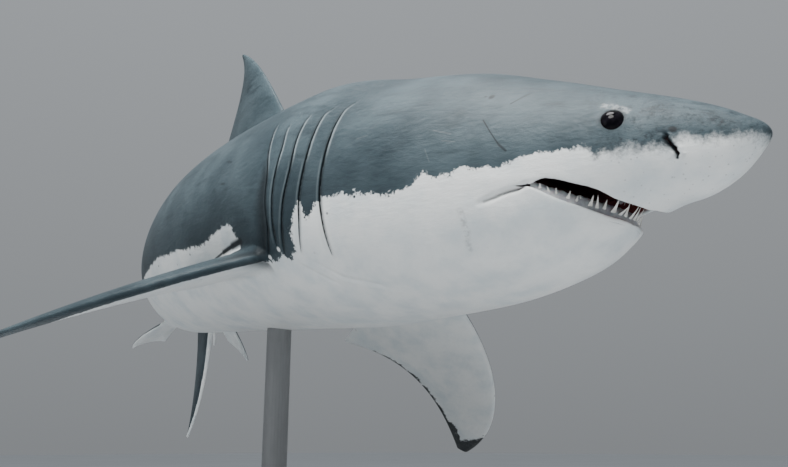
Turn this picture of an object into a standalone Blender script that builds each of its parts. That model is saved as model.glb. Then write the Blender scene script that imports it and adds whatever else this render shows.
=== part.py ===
"""Great white shark, life size, as a still display model held on a plain stand.

Places on the animal are given as (station, side, height): the distance back from the snout
tip along the curved backbone line, the distance to the animal's left, and the height above
that line. All three are in percent of the total length, the measure used for sharks.
The body is lofted from oval sections and parted into lengths; each fin is a lofted blade.
"""

import math

import bmesh
import bpy
import numpy as np
from mathutils import Vector

TOTAL_LENGTH = 4.2
PERCENT = TOTAL_LENGTH / 100
GAP = 0.0003
SNOUT_HEIGHT = 1.0

# The backbone line's heading, in degrees: yaw to the animal's left, and pitch upwards.
YAW = ((0, 0), (12, 1.3), (25, -4.9), (40, -7.4), (55, -20), (68, -43), (78, -34), (88, -12))
PITCH = ((0, 0), (12, -3.5), (25, -5.1), (38, -3.4), (50, 0.7), (84, 1.6))
FINEST_STEP, LAST_STATION = 0.25, 110

# Oval sections of the body: station, top, bottom, half width and height of the widest level.
SECTIONS = (
    (0, 0, 0, 0, 0),
    (0.5, 0.72, -0.6, 0.93, 0),
    (1, 1.06, -1.05, 1.37, 0),
    (2, 1.72, -1.8, 1.98, 0.05),
    (3.2, 2.36, -2.28, 2.64, 0.1),
    (5.85, 3.5, -2.78, 3.83, 0.2),
    (6.8, 3.88, -3.3, 4.23, 0.17),
    (8.2, 4.45, -4.25, 4.84, 0.1),
    (9.5, 4.97, -5.2, 5.34, 0.03),
    (11, 5.53, -5.8, 5.85, -0.04),
    (15, 6.9, -6.76, 7.03, -0.2),
    (20, 7.87, -7.3, 8.11, -0.3),
    (27, 9.2, -7.81, 9.01, -0.3),
    (36, 9.1, -7.69, 8.43, -0.2),
    (46, 8.65, -7.14, 7.56, -0.1),
    (57, 6.93, -5.84, 6.01, 0.2),
    (68, 4.58, -3.65, 3.6, 0.5),
    (77, 2.85, -1.85, 2.0, 0.6),
    (84, 2.1, -1.1, 1.35, 0.55),
    (88.5, 1.3, -0.3, 0.4, 0.5),
)
KEEL_WIDTH = ((72, 0), (78, 0.35), (83, 1.05), (88.5, 0.3))
KEEL_SHARPNESS = 14
RING_POINTS = 32

# Lengths of the body, each from one station to the next, with its number of rings.
HEAD_END = 20.3
GILLS_END = 28.3
LENGTHS = (
    ("gill_region", HEAD_END, GILLS_END, 7),
    ("trunk_front", GILLS_END, 42.5, 6),
    ("trunk_rear", 42.5, 57, 6),
    ("tail_base", 57, 71, 6),
    ("caudal_peduncle", 71, 88.5, 10),
)
HEAD_STATIONS = (0.05, 0.25, 0.6, 1.1, 1.8, 2.7, 3.7, 4.8, 6, 6.7, 7.5, 8.4, 9.5, 11, 12.7, 14.6, 16.5, 18.4)

# The mouth: heights of both lips and of the floor behind the corner, by station.
UPPER_LIP = ((6, -2.88), (6.7, -2.6), (7.3, -2.19), (8, -1.99), (9.4, -1.64), (10.3, -1.8))
LOWER_LIP = ((6, -3.9), (7, -3.44), (7.7, -3.12), (8.8, -2.54), (10.3, -1.85), (12.6, -2.65))
MOUTH_CORNER, MOUTH_HALF_WIDTH = 10.3, 5.25
JAW_END, JAW_REACH, JAW_DEPTH = 12.6, 6.6, 9.0
PALATE_RISE, LIP_THICKNESS, LEAST_GAPE = 1.1, 0.5, 0.02
THROAT_DEPTH, THROAT_SLOPE = 2.2, 0.8

# Each row of teeth: how many, and how far it stands behind its lip.
UPPER_ROW, LOWER_ROW = (16, 0.75), (18, 0.4)
ROW_START, ROW_END = 0.07, 0.93
TOOTH_LENGTH, TOOTH_LEAN, TOOTH_FADE = 0.6, 0.15, 0.16
GUM_HEIGHT, GUM_WIDTH, GUM_ROOT = 0.34, 0.28, 0.3

EYE_PLACE = (6.09, 3.8, 1.09)
EYE_RADIUS = 0.8
EYE_BULGE = 0.2

# Gill slits: station at mid height, and how far back the top and the bottom end lean.
GILL_SLITS = (
    (21.6, -0.4, 0.2),
    (23.0, -0.5, 1.2),
    (24.2, 0.4, 1.6),
    (25.3, 0.8, 1.0),
    (26.2, 1.7, 1.5),
)
GILL_TOP, GILL_BOTTOM = 4.9, -4.6
GILL_DEPTH, GILL_WIDTH, GILL_FADE = 0.7, 0.16, 0.12
GILL_LEVELS = 5

# The left shoulder sits further forward than the right one, as the body bends to its left.
LEFT_SHOULDER_SHIFT = -1.3

# Fin outlines, as Bezier control points (distance back, distance out) from the fin's origin.
# The free rear tip takes the first share of the span. Thickness is at the root and at the tip.
REAR_TIP_SHARE, THICKNESS_TAPER, TIP_CROWDING = 0.16, 1.2, 1.25
PECTORAL = {
    "leading": ((0, -2.2), (-0.6, 6.4), (4.1, 14.4), (10.7, 16.6)),
    "inner": ((6.6, -2.2), (13.3, 0.9)),
    "trailing": ((13.3, 0.9), (7.6, 4.6), (9.0, 10.6), (10.9, 16.3)),
    "thickness": (1.9, 0.25),
}
PELVIC = {
    "leading": ((0, -1.0), (0.5, 1.4), (2.4, 3.2), (4.5, 3.7)),
    "inner": ((4.4, -1.0), (7.4, 0.7)),
    "trailing": ((7.4, 0.7), (5.4, 1.4), (4.6, 2.6), (4.7, 3.6)),
    "thickness": (0.9, 0.2),
}
# Upright fins: (station, height) on the animal's own middle plane.
FIRST_DORSAL = {
    "leading": ((35.2, 7.0), (40.0, 11.7), (43.1, 17.6), (47.8, 20.1)),
    "inner": ((46.6, 7.0), (52.4, 9.6)),
    "trailing": ((52.4, 9.6), (48.8, 13.6), (46.6, 17.0), (48.2, 19.9)),
    "thickness": (1.7, 0.3),
}
SECOND_DORSAL = {
    "leading": ((72.6, 2.6), (73.8, 4.4), (74.8, 5.2), (75.6, 5.5)),
    "inner": ((74.7, 2.6), (78.0, 3.9)),
    "trailing": ((78.0, 3.9), (76.4, 4.3), (75.8, 4.9), (75.7, 5.4)),
    "thickness": (0.5, 0.16),
}
ANAL = {
    "leading": ((75.0, -1.2), (76.2, -2.7), (77.2, -3.7), (78.2, -4.0)),
    "inner": ((77.2, -1.2), (80.4, -2.3)),
    "trailing": ((80.4, -2.3), (78.9, -2.8), (78.3, -3.4), (78.3, -3.9)),
    "thickness": (0.5, 0.16),
}
UPPER_LOBE = {
    "leading": ((83.2, 0.61), (86.6, 5.4), (91.5, 11.2), (99.0, 15.4)),
    "inner": ((89.6, 0.61), (89.9, 1.6)),
    "trailing": ((89.9, 1.6), (90.6, 5.2), (93.4, 10.6), (99.2, 15.1)),
    "thickness": (1.5, 0.25),
}
LOWER_LOBE = {
    "leading": ((83.6, 0.6), (84.6, -5.2), (87.2, -11.0), (91.5, -14.6)),
    "inner": ((89.6, 0.6), (89.8, -0.6)),
    "trailing": ((89.8, -0.6), (89.2, -4.0), (89.6, -10.0), (91.7, -14.3)),
    "thickness": (1.2, 0.25),
}
# Paired fins: side, origin (station, side, height), droop, rise of the leading edge, tip bend.
PECTORAL_SPAN, PELVIC_SPAN = 17, 5
PECTORAL_POSES = (
    ("pectoral_fin_right", -1, (27.4, 8.0, -4.1), 20, 5, 0.7),
    ("pectoral_fin_left", 1, (26.1, 8.0, -5.2), 38, 12, 0.5),
)
PELVIC_POSES = (
    ("pelvic_fin_right", -1, (57.6, 3.2, -4.8), 27, 4, 0),
    ("pelvic_fin_left", 1, (57.6, 3.2, -4.8), 50, 4, 0),
)

# The rod stands at the middle of the base, under the animal's centre of mass.
STAND_LENGTH, STAND_WIDTH, STAND_THICKNESS, STAND_BEVEL = 2.2, 1.1, 0.05, 0.008
ROD_STATION, ROD_RADIUS, ROD_SIDES = 38.5, 0.04, 24
FLANGE_RADIUS, FLANGE_THICKNESS = 0.11, 0.018


def smooth_curve(points, x):
    """The monotone cubic curve through (x, y) points, read at x."""
    xs, ys = np.array(points, float).T
    steps = np.diff(xs)
    rises = np.diff(ys) / steps
    slopes = np.concatenate([rises[:1], np.zeros(len(xs) - 2), rises[-1:]])
    for i in range(1, len(xs) - 1):
        if rises[i - 1] * rises[i] > 0:
            before, after = 2 * steps[i] + steps[i - 1], steps[i] + 2 * steps[i - 1]
            slopes[i] = (before + after) / (before / rises[i - 1] + after / rises[i])
    x = np.clip(x, xs[0], xs[-1])
    i = np.clip(np.searchsorted(xs, x) - 1, 0, len(xs) - 2)
    t = (x - xs[i]) / steps[i]
    start = ys[i] * (1 + 2 * t) * (1 - t) ** 2 + slopes[i] * steps[i] * t * (1 - t) ** 2
    end = ys[i + 1] * t * t * (3 - 2 * t) + slopes[i + 1] * steps[i] * t * t * (t - 1)
    return start + end


def bezier(points, t):
    """The cubic Bezier curve with four control points, read at t."""
    t = np.asarray(t, float)[..., None]
    a, b, c, d = (np.array(p, float) for p in points)
    return a * (1 - t) ** 3 + 3 * b * t * (1 - t) ** 2 + 3 * c * t * t * (1 - t) + d * t**3


def backbone():
    """Stations along the backbone line, with its points and its frame at each."""
    stations = np.arange(0, LAST_STATION, FINEST_STEP)
    yaw = np.radians(smooth_curve(YAW, stations))
    pitch = np.radians(smooth_curve(PITCH, stations))
    ahead = np.stack([np.cos(yaw) * np.cos(pitch), np.sin(yaw) * np.cos(pitch), np.sin(pitch)], -1)
    left = np.stack([-np.sin(yaw), np.cos(yaw), 0 * yaw], -1)
    up = np.cross(ahead, left)
    strides = (ahead[1:] + ahead[:-1]) / 2 * FINEST_STEP
    points = np.concatenate([np.zeros((1, 3)), -np.cumsum(strides, 0)])
    return stations, points, left, up


def snout_tip():
    """Where the snout tip goes for the rod to stand at the origin."""
    stations, points, _, _ = BACKBONE
    x, y = (-PERCENT * np.interp(ROD_STATION, stations, points[:, i]) for i in (0, 1))
    return np.array([x, y, SNOUT_HEIGHT])


BACKBONE = backbone()
SNOUT_TIP = snout_tip()


def place(station, side, height):
    """World points, in metres, of places on the animal."""
    stations, points, left, up = BACKBONE
    station, side, height = np.broadcast_arrays(station, side, height)

    def at(values):
        return np.stack([np.interp(station, stations, values[:, i]) for i in range(3)], -1)

    percent = at(points) + at(left) * side[..., None] + at(up) * height[..., None]
    return SNOUT_TIP + percent * PERCENT


def section(station):
    """Top, bottom, half width and widest level of the body's section at a station."""
    rows = np.array(SECTIONS, float)
    root = np.sqrt(rows[:, 0])
    at = np.sqrt(station)
    return [smooth_curve(list(zip(root, rows[:, k])), at) for k in range(1, 5)]


def body_rings(stations, outset=0.0):
    """Rings of world points round the body, grown outwards by outset, in percent."""
    stations = np.asarray(stations, float)[:, None]
    top, bottom, half_width, level = section(stations)
    turn = np.linspace(0, 2 * np.pi, RING_POINTS, endpoint=False)[None, :]
    keel = smooth_curve(KEEL_WIDTH, stations) * np.abs(np.sin(turn)) ** KEEL_SHARPNESS
    keel = np.where(stations < KEEL_WIDTH[0][0], 0, keel)
    rise = np.where(np.cos(turn) > 0, top - level, level - bottom) + outset
    side = (half_width + keel + outset) * np.sin(turn)
    return place(stations, side, level + rise * np.cos(turn))


def skin_side(station, height):
    """How far out the skin lies at a station and height."""
    top, bottom, half_width, level = section(np.asarray(station, float))
    reach = np.where(height > level, top - level, level - bottom)
    return half_width * np.sqrt(np.clip(1 - ((height - level) / reach) ** 2, 0, 1))


def new_object(name, points, faces, material=None):
    mesh = bpy.data.meshes.new(name)
    mesh.from_pydata([tuple(p) for p in points], [], faces)
    mesh.validate()
    obj = bpy.data.objects.new(name, mesh)
    bpy.context.collection.objects.link(obj)
    if material:
        mesh.materials.append(material)
    work = bmesh.new()
    work.from_mesh(mesh)
    bmesh.ops.recalc_face_normals(work, faces=work.faces)
    work.to_mesh(mesh)
    work.free()
    mesh.shade_smooth()
    mesh.set_sharp_from_angle(angle=math.radians(40))
    return obj


def loft(name, rings, material=None, point_start=False, point_end=False):
    """A closed solid through rings of points, with flat or pointed ends, all in triangles."""
    count = rings.shape[1]
    points = list(rings.reshape(-1, 3))
    faces = []
    for r in range(len(rings) - 1):
        for k in range(count):
            a, b = r * count + k, r * count + (k + 1) % count
            c, d = a + count, b + count
            faces += [(a, b, d), (a, d, c)]
    last = (len(rings) - 1) * count
    for start, pointed in ((0, point_start), (last, point_end)):
        if pointed:
            middle = len(points)
            points.append(rings[0 if start == 0 else -1].mean(axis=0))
            faces += [(start + k, start + (k + 1) % count, middle) for k in range(count)]
        else:
            faces.append(tuple(range(start, start + count)))
    return new_object(name, points, faces, material)


def apply_boolean(obj, cutter, operation):
    """Cuts, joins or keeps with a helper solid, which is then removed."""
    modifier = obj.modifiers.new(operation.lower(), "BOOLEAN")
    modifier.operation = operation
    modifier.object = cutter
    modifier.solver = "EXACT"
    graph = bpy.context.evaluated_depsgraph_get()
    mesh = bpy.data.meshes.new_from_object(obj.evaluated_get(graph))
    obj.modifiers.clear()
    obj.data = mesh
    bpy.data.objects.remove(cutter)


def make_material(name, colour, roughness, metallic=0.0):
    material = bpy.data.materials.new(name)
    material.use_nodes = True
    shader = material.node_tree.nodes["Principled BSDF"]
    shader.inputs["Base Color"].default_value = (*colour, 1)
    shader.inputs["Roughness"].default_value = roughness
    shader.inputs["Metallic"].default_value = metallic
    return material


def length_stations(start, end, count):
    """Stations of one length, held off its neighbours by half the gap."""
    stations = np.linspace(start, end, count)
    stations[0] += GAP / 2 / PERCENT
    if end < LENGTHS[-1][2]:
        stations[-1] -= GAP / 2 / PERCENT
    return stations


def grown_body():
    """The whole body grown by the gap, which cuts what meets the skin."""
    parts = [np.linspace(start, end, count) for _, start, end, count in LENGTHS]
    stations = np.unique(np.concatenate([HEAD_STATIONS, *parts]))
    stations[-1] += GAP / PERCENT
    return loft("body_cutter", body_rings(stations, GAP / PERCENT), None, True, True)


def lip_path(lip):
    """Places along a lip, from the left corner of the mouth round the front to the right one."""
    stations = np.linspace(math.sqrt(lip[0][0]), math.sqrt(MOUTH_CORNER), 300) ** 2
    side = skin_side(stations, smooth_curve(lip, stations))
    ahead = side > 0
    half = np.stack([stations[ahead], side[ahead]], -1)
    return np.concatenate([half[::-1], half * (1, -1)])


def roof_height(station, side):
    """The mouth's roof: it rises behind the lip and comes down to the floor at the throat."""
    upper, lower = smooth_curve(UPPER_LIP, station), smooth_curve(LOWER_LIP, station)
    path = lip_path(UPPER_LIP)
    behind = np.hypot(station[..., None] - path[:, 0], side[..., None] - path[:, 1]).min(-1)
    behind = np.where(np.abs(side) < skin_side(station, upper), behind, 0)
    rear = MOUTH_CORNER + THROAT_DEPTH * (1 - (side / MOUTH_HALF_WIDTH) ** 2)
    room = np.clip((rear - station) / THROAT_SLOPE, 0, 1)
    rise = PALATE_RISE * (1 - np.exp(-((behind / LIP_THICKNESS) ** 2)))
    return lower + room * (np.clip(upper - lower, LEAST_GAPE, None) + rise)


def mouth_block(name, opened):
    """All below the mouth's floor, or all below its roof where opened is true."""
    gap = GAP / PERCENT if opened else 0
    stations = np.linspace(UPPER_LIP[0][0], JAW_END + gap, 12)
    station, side = np.meshgrid(stations, np.linspace(-JAW_REACH, JAW_REACH, 13), indexing="ij")
    height = roof_height(station, side) + gap if opened else smooth_curve(LOWER_LIP, station)
    roof, floor = place(station, side, height), place(station, side, -JAW_DEPTH)
    rows, columns = station.shape
    points = np.concatenate([roof.reshape(-1, 3), floor.reshape(-1, 3)])
    under = rows * columns
    faces = []
    for i in range(rows - 1):
        for j in range(columns - 1):
            a = i * columns + j
            b, c, d = a + 1, a + columns + 1, a + columns
            faces += [(a, b, c), (a, c, d), (d + under, c + under, b + under, a + under)]
    rim = list(range(columns))
    rim += [i * columns + columns - 1 for i in range(1, rows)]
    rim += [(rows - 1) * columns + j for j in range(columns - 2, -1, -1)]
    rim += [i * columns for i in range(rows - 2, 0, -1)]
    faces += [(b, a, a + under, b + under) for a, b in zip(rim, rim[1:] + rim[:1])]
    return new_object(name, points, faces)


def tooth_row(lip, teeth, inset):
    """Places behind a lip, two to a tooth, with the direction inwards at each."""
    path = lip_path(lip)
    along = np.concatenate([[0], np.cumsum(np.hypot(*np.diff(path, axis=0).T))])
    at = np.linspace(ROW_START, ROW_END, 2 * teeth + 1) * along[-1]
    path = np.stack([np.interp(at, along, path[:, k]) for k in (0, 1)], -1)
    ahead = np.gradient(path, axis=0)
    inward = np.stack([-ahead[:, 1], ahead[:, 0]], -1) / np.linalg.norm(ahead, axis=1)[:, None]
    return path + inward * inset, inward


def teeth_strip(name, path, inward, root, sense):
    """A low gum ridge with a tooth on every second stretch. sense is 1 for up and -1 for down."""
    edge = inward * GUM_WIDTH / 2
    corners = ((-1, -GUM_ROOT), (-1, GUM_HEIGHT), (1, GUM_HEIGHT), (1, -GUM_ROOT))
    rings = [place(*(path + across * edge).T, root + sense * level) for across, level in corners]
    points = list(np.stack(rings, 1).reshape(-1, 3))
    last = 4 * (len(path) - 1)
    faces = [(0, 1, 2, 3), (last + 3, last + 2, last + 1, last)]
    size = np.sin(np.linspace(TOOTH_FADE, 1 - TOOTH_FADE, len(path)) * math.pi)
    for i in range(len(path) - 1):
        a, b = 4 * i, 4 * i + 4
        faces += [(a + k, b + k, b + (k + 1) % 4, a + (k + 1) % 4) for k in (0, 2, 3)]
        crown = (a + 1, b + 1, b + 2, a + 2)
        if i % 2 == 0:
            faces.append(crown)
            continue
        middle = (path[i] + path[i + 1]) / 2 - inward[i] * TOOTH_LEAN
        points.append(place(*middle, root[i] + sense * (GUM_HEIGHT + TOOTH_LENGTH * size[i])))
        faces += [(crown[k], crown[(k + 1) % 4], len(points) - 1) for k in range(4)]
    return new_object(name, points, faces)


def eye_frame(side):
    """The eye's middle and the unit vector pointing out of its socket."""
    station, out, height = EYE_PLACE
    middle = place(station, side * out, height)
    ahead = place(station - 0.5, side * skin_side(station - 0.5, height), height)
    behind = place(station + 0.5, side * skin_side(station + 0.5, height), height)
    above = place(station, side * skin_side(station, height + 0.5), height + 0.5)
    below = place(station, side * skin_side(station, height - 0.5), height - 0.5)
    outward = np.cross(ahead - behind, above - below) * -side
    return middle, outward / np.linalg.norm(outward)


def make_ball(name, side, radius, material=None):
    """An eyeball, set so that it stands a little proud of the skin."""
    middle, outward = eye_frame(side)
    centre = middle - outward * (EYE_RADIUS - EYE_BULGE) * PERCENT
    bpy.ops.mesh.primitive_uv_sphere_add(segments=14, ring_count=8, radius=radius, location=centre)
    ball = bpy.context.object
    ball.name = ball.data.name = name
    ball.rotation_mode = "QUATERNION"
    ball.rotation_quaternion = Vector(outward).to_track_quat("Z", "Y")
    ball.data.shade_smooth()
    if material:
        ball.data.materials.append(material)
    bpy.context.view_layer.update()
    return ball


def make_head(materials):
    """The head above the mouth, with its teeth, and the lower jaw with its own."""
    stations = np.array([*HEAD_STATIONS, HEAD_END - GAP / 2 / PERCENT])
    head = loft("head", body_rings(stations), materials["skin"], point_start=True)
    jaw = loft("lower_jaw", body_rings(stations), materials["belly"], point_start=True)
    apply_boolean(jaw, mouth_block("jaw_cutter", False), "INTERSECT")
    apply_boolean(head, mouth_block("mouth_cutter", True), "DIFFERENCE")
    for side in (1, -1):
        apply_boolean(head, make_ball("socket", side, EYE_RADIUS * PERCENT + GAP), "DIFFERENCE")
    path, inward = tooth_row(LOWER_LIP, *LOWER_ROW)
    floor = smooth_curve(LOWER_LIP, path[:, 0])
    apply_boolean(jaw, teeth_strip("lower_teeth", path, inward, floor, 1), "UNION")
    path, inward = tooth_row(UPPER_LIP, *UPPER_ROW)
    roof = roof_height(path[:, 0], path[:, 1])
    apply_boolean(head, teeth_strip("upper_teeth", path, inward, roof, -1), "UNION")


def gill_cutter(index, side):
    """A thin blade that follows one gill slit and reaches a little way under the skin."""
    middle, top_lean, bottom_lean = GILL_SLITS[index]
    height = np.linspace(GILL_TOP, GILL_BOTTOM, GILL_LEVELS)
    upper_lean = top_lean * (height / GILL_TOP) ** 2
    lower_lean = bottom_lean * (height / GILL_BOTTOM) ** 2
    station = middle + np.where(height > 0, upper_lean, lower_lean)
    if side > 0:
        station = station + LEFT_SHOULDER_SHIFT
    out = skin_side(station, height)
    reach = np.sin(np.linspace(GILL_FADE, 1 - GILL_FADE, GILL_LEVELS) * math.pi)
    corners = ((0.5, -0.5), (0.5, 0.5), (-reach, 0.5), (-reach, -0.5))
    rows = []
    for depth, half in corners:
        deep = out + depth * np.where(np.less(depth, 0), GILL_DEPTH, 1)
        rows.append(place(station + half * GILL_WIDTH * reach, side * deep, height))
    return loft("gill_cutter", np.stack(rows, 1))


def make_lengths(materials):
    """The body behind the head, in lengths, with the gill slits cut into the first."""
    for name, start, end, count in LENGTHS:
        rings = body_rings(length_stations(start, end, count))
        length = loft(name, rings, materials["skin"], point_end=end == LENGTHS[-1][2])
        if name == "gill_region":
            for side in (1, -1):
                for index in range(len(GILL_SLITS)):
                    apply_boolean(length, gill_cutter(index, side), "DIFFERENCE")


def blade_half_thickness(t):
    """A streamlined section: half thickness at t along the chord, 1 at its thickest."""
    return 2.6 * np.sqrt(t) - 1.0 * t - 2.6 * t**2 + 1.0 * t**3


def fin_rings(fin, to_world, rows, columns):
    """Rings of world points from a fin's root to its tip. to_world takes back, out, across."""
    v = 1 - (1 - np.linspace(0, 1, rows)) ** TIP_CROWDING
    leading = bezier(fin["leading"], v)
    root, rear_tip = np.array(fin["inner"], float)
    share = np.clip(v / REAR_TIP_SHARE, 0, 1)[:, None]
    trailing = bezier(fin["trailing"], np.clip((v - REAR_TIP_SHARE) / (1 - REAR_TIP_SHARE), 0, 1))
    trailing = np.where(share < 1, root + (rear_tip - root) * share, trailing)
    root_thick, tip_thick = fin["thickness"]
    thick = tip_thick + (root_thick - tip_thick) * (1 - v) ** THICKNESS_TAPER
    t = (1 - np.cos(np.linspace(0, np.pi, columns))) / 2
    across = blade_half_thickness(t) / 2
    across[-1] = 0
    t = np.concatenate([t, t[-2:0:-1]])
    across = np.concatenate([across, -across[-2:0:-1]])
    flat = leading[:, None] + (trailing - leading)[:, None] * t[None, :, None]
    return to_world(flat[..., 0], flat[..., 1], thick[:, None] * across[None, :])


def upright(back, out, across):
    """A fin on the animal's middle plane."""
    return place(back, across, out)


def paired(side, origin, droop, rise, bend, span):
    """A function that hangs a paired fin's outline on its place at the body's side."""
    station, out, height = origin
    slope, attack = math.radians(droop), math.radians(rise)

    def to_world(back, reach, across):
        across = across - bend * (np.clip(reach, 0, None) / span) ** 2
        rear = back * math.cos(attack) + across * math.sin(attack)
        lift = across * math.cos(attack) - back * math.sin(attack)
        sideways = out + reach * math.cos(slope) + lift * math.sin(slope)
        above = height - reach * math.sin(slope) + lift * math.cos(slope)
        return place(station + rear, side * sideways, above)

    return to_world


def make_fin(name, fin, to_world, rows, columns, material):
    """A fin whose root is cut to the body's skin."""
    blade = loft(name, fin_rings(fin, to_world, rows, columns), material, point_end=True)
    apply_boolean(blade, grown_body(), "DIFFERENCE")
    return blade


def make_fins(materials):
    for name, *pose in PECTORAL_POSES:
        make_fin(name, PECTORAL, paired(*pose, PECTORAL_SPAN), 12, 8, materials["fin"])
    for name, *pose in PELVIC_POSES:
        make_fin(name, PELVIC, paired(*pose, PELVIC_SPAN), 8, 7, materials["fin"])
    for name, fin, rows, columns in (
        ("first_dorsal_fin", FIRST_DORSAL, 10, 8),
        ("second_dorsal_fin", SECOND_DORSAL, 7, 5),
        ("anal_fin", ANAL, 7, 5),
        ("caudal_fin_upper_lobe", UPPER_LOBE, 11, 7),
        ("caudal_fin_lower_lobe", LOWER_LOBE, 11, 7),
    ):
        make_fin(name, fin, upright, rows, columns, materials["fin"])


def make_stand(materials):
    """A flat base with a round flange, and an upright rod whose top is cut to the belly."""
    bpy.ops.mesh.primitive_cube_add(size=1)
    base = bpy.context.object
    base.name = base.data.name = "stand_base"
    base.data.materials.append(materials["base"])
    for vertex in base.data.vertices:
        x, y, z = vertex.co
        vertex.co = (x * STAND_LENGTH, y * STAND_WIDTH, (z + 0.5) * STAND_THICKNESS)
    bevel = base.modifiers.new("edge", "BEVEL")
    bevel.width = STAND_BEVEL
    bevel.segments = 2
    foot = STAND_THICKNESS + GAP
    top = foot + FLANGE_THICKNESS
    upright_cylinder("stand_flange", FLANGE_RADIUS, foot, top, materials["rod"])
    rod = upright_cylinder("stand_rod", ROD_RADIUS, top + GAP, SNOUT_HEIGHT, materials["rod"])
    apply_boolean(rod, grown_body(), "DIFFERENCE")


def upright_cylinder(name, radius, bottom, top, material):
    """A round upright solid at the origin."""
    turn = np.linspace(0, 2 * np.pi, ROD_SIDES, endpoint=False)
    x, y = radius * np.cos(turn), radius * np.sin(turn)
    rings = [np.stack([x, y, 0 * turn + z], -1) for z in (bottom, top)]
    return loft(name, np.array(rings), material)


def main():
    for obj in list(bpy.data.objects):
        bpy.data.objects.remove(obj)
    materials = {
        "skin": make_material("skin", (0.16, 0.24, 0.26), 0.42),
        "belly": make_material("belly", (0.72, 0.78, 0.78), 0.42),
        "fin": make_material("fin", (0.13, 0.19, 0.21), 0.45),
        "eye": make_material("eye", (0.008, 0.009, 0.012), 0.06),
        "base": make_material("stand_base", (0.16, 0.16, 0.17), 0.5),
        "rod": make_material("stand_rod", (0.55, 0.56, 0.57), 0.3, 1.0),
    }
    make_head(materials)
    for name, side in (("eye_left", 1), ("eye_right", -1)):
        make_ball(name, side, EYE_RADIUS * PERCENT, materials["eye"])
    make_lengths(materials)
    make_fins(materials)
    make_stand(materials)


main()
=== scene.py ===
"""Great white shark, life size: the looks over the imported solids.

One skin stands for all the nodes of flesh. It is worked out from the same oval sections and fin
outlines as the solids, finer, with lips, gill flaps, nostrils and folds, and the fins run into it
with no seam. Eyes, gums and teeth are pieces of their own.

Places are (station, side, height), in percent of the total length: back from the snout tip along
the curved backbone line, to the animal's left, and above that line.
"""

import math

import bmesh
import bpy
import numpy as np
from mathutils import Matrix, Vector
from mathutils.kdtree import KDTree


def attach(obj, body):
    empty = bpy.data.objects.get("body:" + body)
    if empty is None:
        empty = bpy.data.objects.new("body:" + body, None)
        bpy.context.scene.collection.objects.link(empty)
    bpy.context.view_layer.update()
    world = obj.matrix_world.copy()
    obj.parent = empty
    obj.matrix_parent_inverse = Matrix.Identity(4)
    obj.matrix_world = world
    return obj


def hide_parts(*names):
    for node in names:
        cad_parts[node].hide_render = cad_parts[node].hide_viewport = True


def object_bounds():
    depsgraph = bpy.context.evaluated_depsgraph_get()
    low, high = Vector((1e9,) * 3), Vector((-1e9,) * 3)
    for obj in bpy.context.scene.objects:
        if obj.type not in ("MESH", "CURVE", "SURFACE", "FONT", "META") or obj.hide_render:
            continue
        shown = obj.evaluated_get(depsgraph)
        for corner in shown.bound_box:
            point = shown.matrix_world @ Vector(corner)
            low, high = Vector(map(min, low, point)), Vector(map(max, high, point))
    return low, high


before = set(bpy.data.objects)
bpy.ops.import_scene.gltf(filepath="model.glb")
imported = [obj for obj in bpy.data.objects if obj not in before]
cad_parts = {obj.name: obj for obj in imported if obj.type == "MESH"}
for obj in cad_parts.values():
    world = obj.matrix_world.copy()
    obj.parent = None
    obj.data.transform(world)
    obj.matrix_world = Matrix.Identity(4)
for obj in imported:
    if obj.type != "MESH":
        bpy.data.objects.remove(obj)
cad_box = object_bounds()

# ---------------------------------------------------------------- sizes, as in the solids
TOTAL_LENGTH = 4.2
PERCENT = TOTAL_LENGTH / 100
SNOUT_HEIGHT = 1.0
ROD_STATION = 38.5

YAW = ((0, 0), (12, 1.3), (25, -4.9), (40, -7.4), (55, -20), (68, -43), (78, -34), (88, -12))
PITCH = ((0, 0), (12, -3.5), (25, -5.1), (38, -3.4), (50, 0.7), (84, 1.6))
FINEST_STEP, LAST_STATION = 0.25, 110

# Oval sections of the body: station, top, bottom, half width and height of the widest level.
SECTIONS = (
    (0, 0, 0, 0, 0),
    (0.5, 0.72, -0.6, 0.93, 0),
    (1, 1.06, -1.05, 1.37, 0),
    (2, 1.72, -1.8, 1.98, 0.05),
    (3.2, 2.36, -2.28, 2.64, 0.1),
    (5.85, 3.5, -2.78, 3.83, 0.2),
    (6.8, 3.88, -3.3, 4.23, 0.17),
    (8.2, 4.45, -4.25, 4.84, 0.1),
    (9.5, 4.97, -5.2, 5.34, 0.03),
    (11, 5.53, -5.8, 5.85, -0.04),
    (15, 6.9, -6.76, 7.03, -0.2),
    (20, 7.87, -7.3, 8.11, -0.3),
    (27, 9.2, -7.81, 9.01, -0.3),
    (36, 9.1, -7.69, 8.43, -0.2),
    (46, 8.65, -7.14, 7.56, -0.1),
    (57, 6.93, -5.84, 6.01, 0.2),
    (68, 4.58, -3.65, 3.6, 0.5),
    (77, 2.85, -1.85, 2.0, 0.6),
    (84, 2.1, -1.1, 1.35, 0.55),
    (88.5, 1.3, -0.3, 0.4, 0.5),
)
BODY_END = 88.5
KEEL_WIDTH = ((72, 0), (78, 0.35), (83, 1.05), (88.5, 0.3))
KEEL_SHARPNESS = 14

UPPER_LIP = ((6, -2.82), (6.7, -2.6), (7.3, -2.19), (8, -1.99), (9.4, -1.64), (10.3, -1.8))
LOWER_LIP = (
    (6, -4.1), (6.5, -3.55), (7, -3.2), (7.7, -2.98), (8.8, -2.54), (10.3, -1.85), (12.6, -2.65),
)
MOUTH_CORNER = 10.3
THROAT_DEPTH = 2.2

EYE_PLACE = (6.09, 3.8, 1.09)
EYE_RADIUS, EYE_BULGE, SOCKET_GAP = 0.8, 0.2, 0.012

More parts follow.
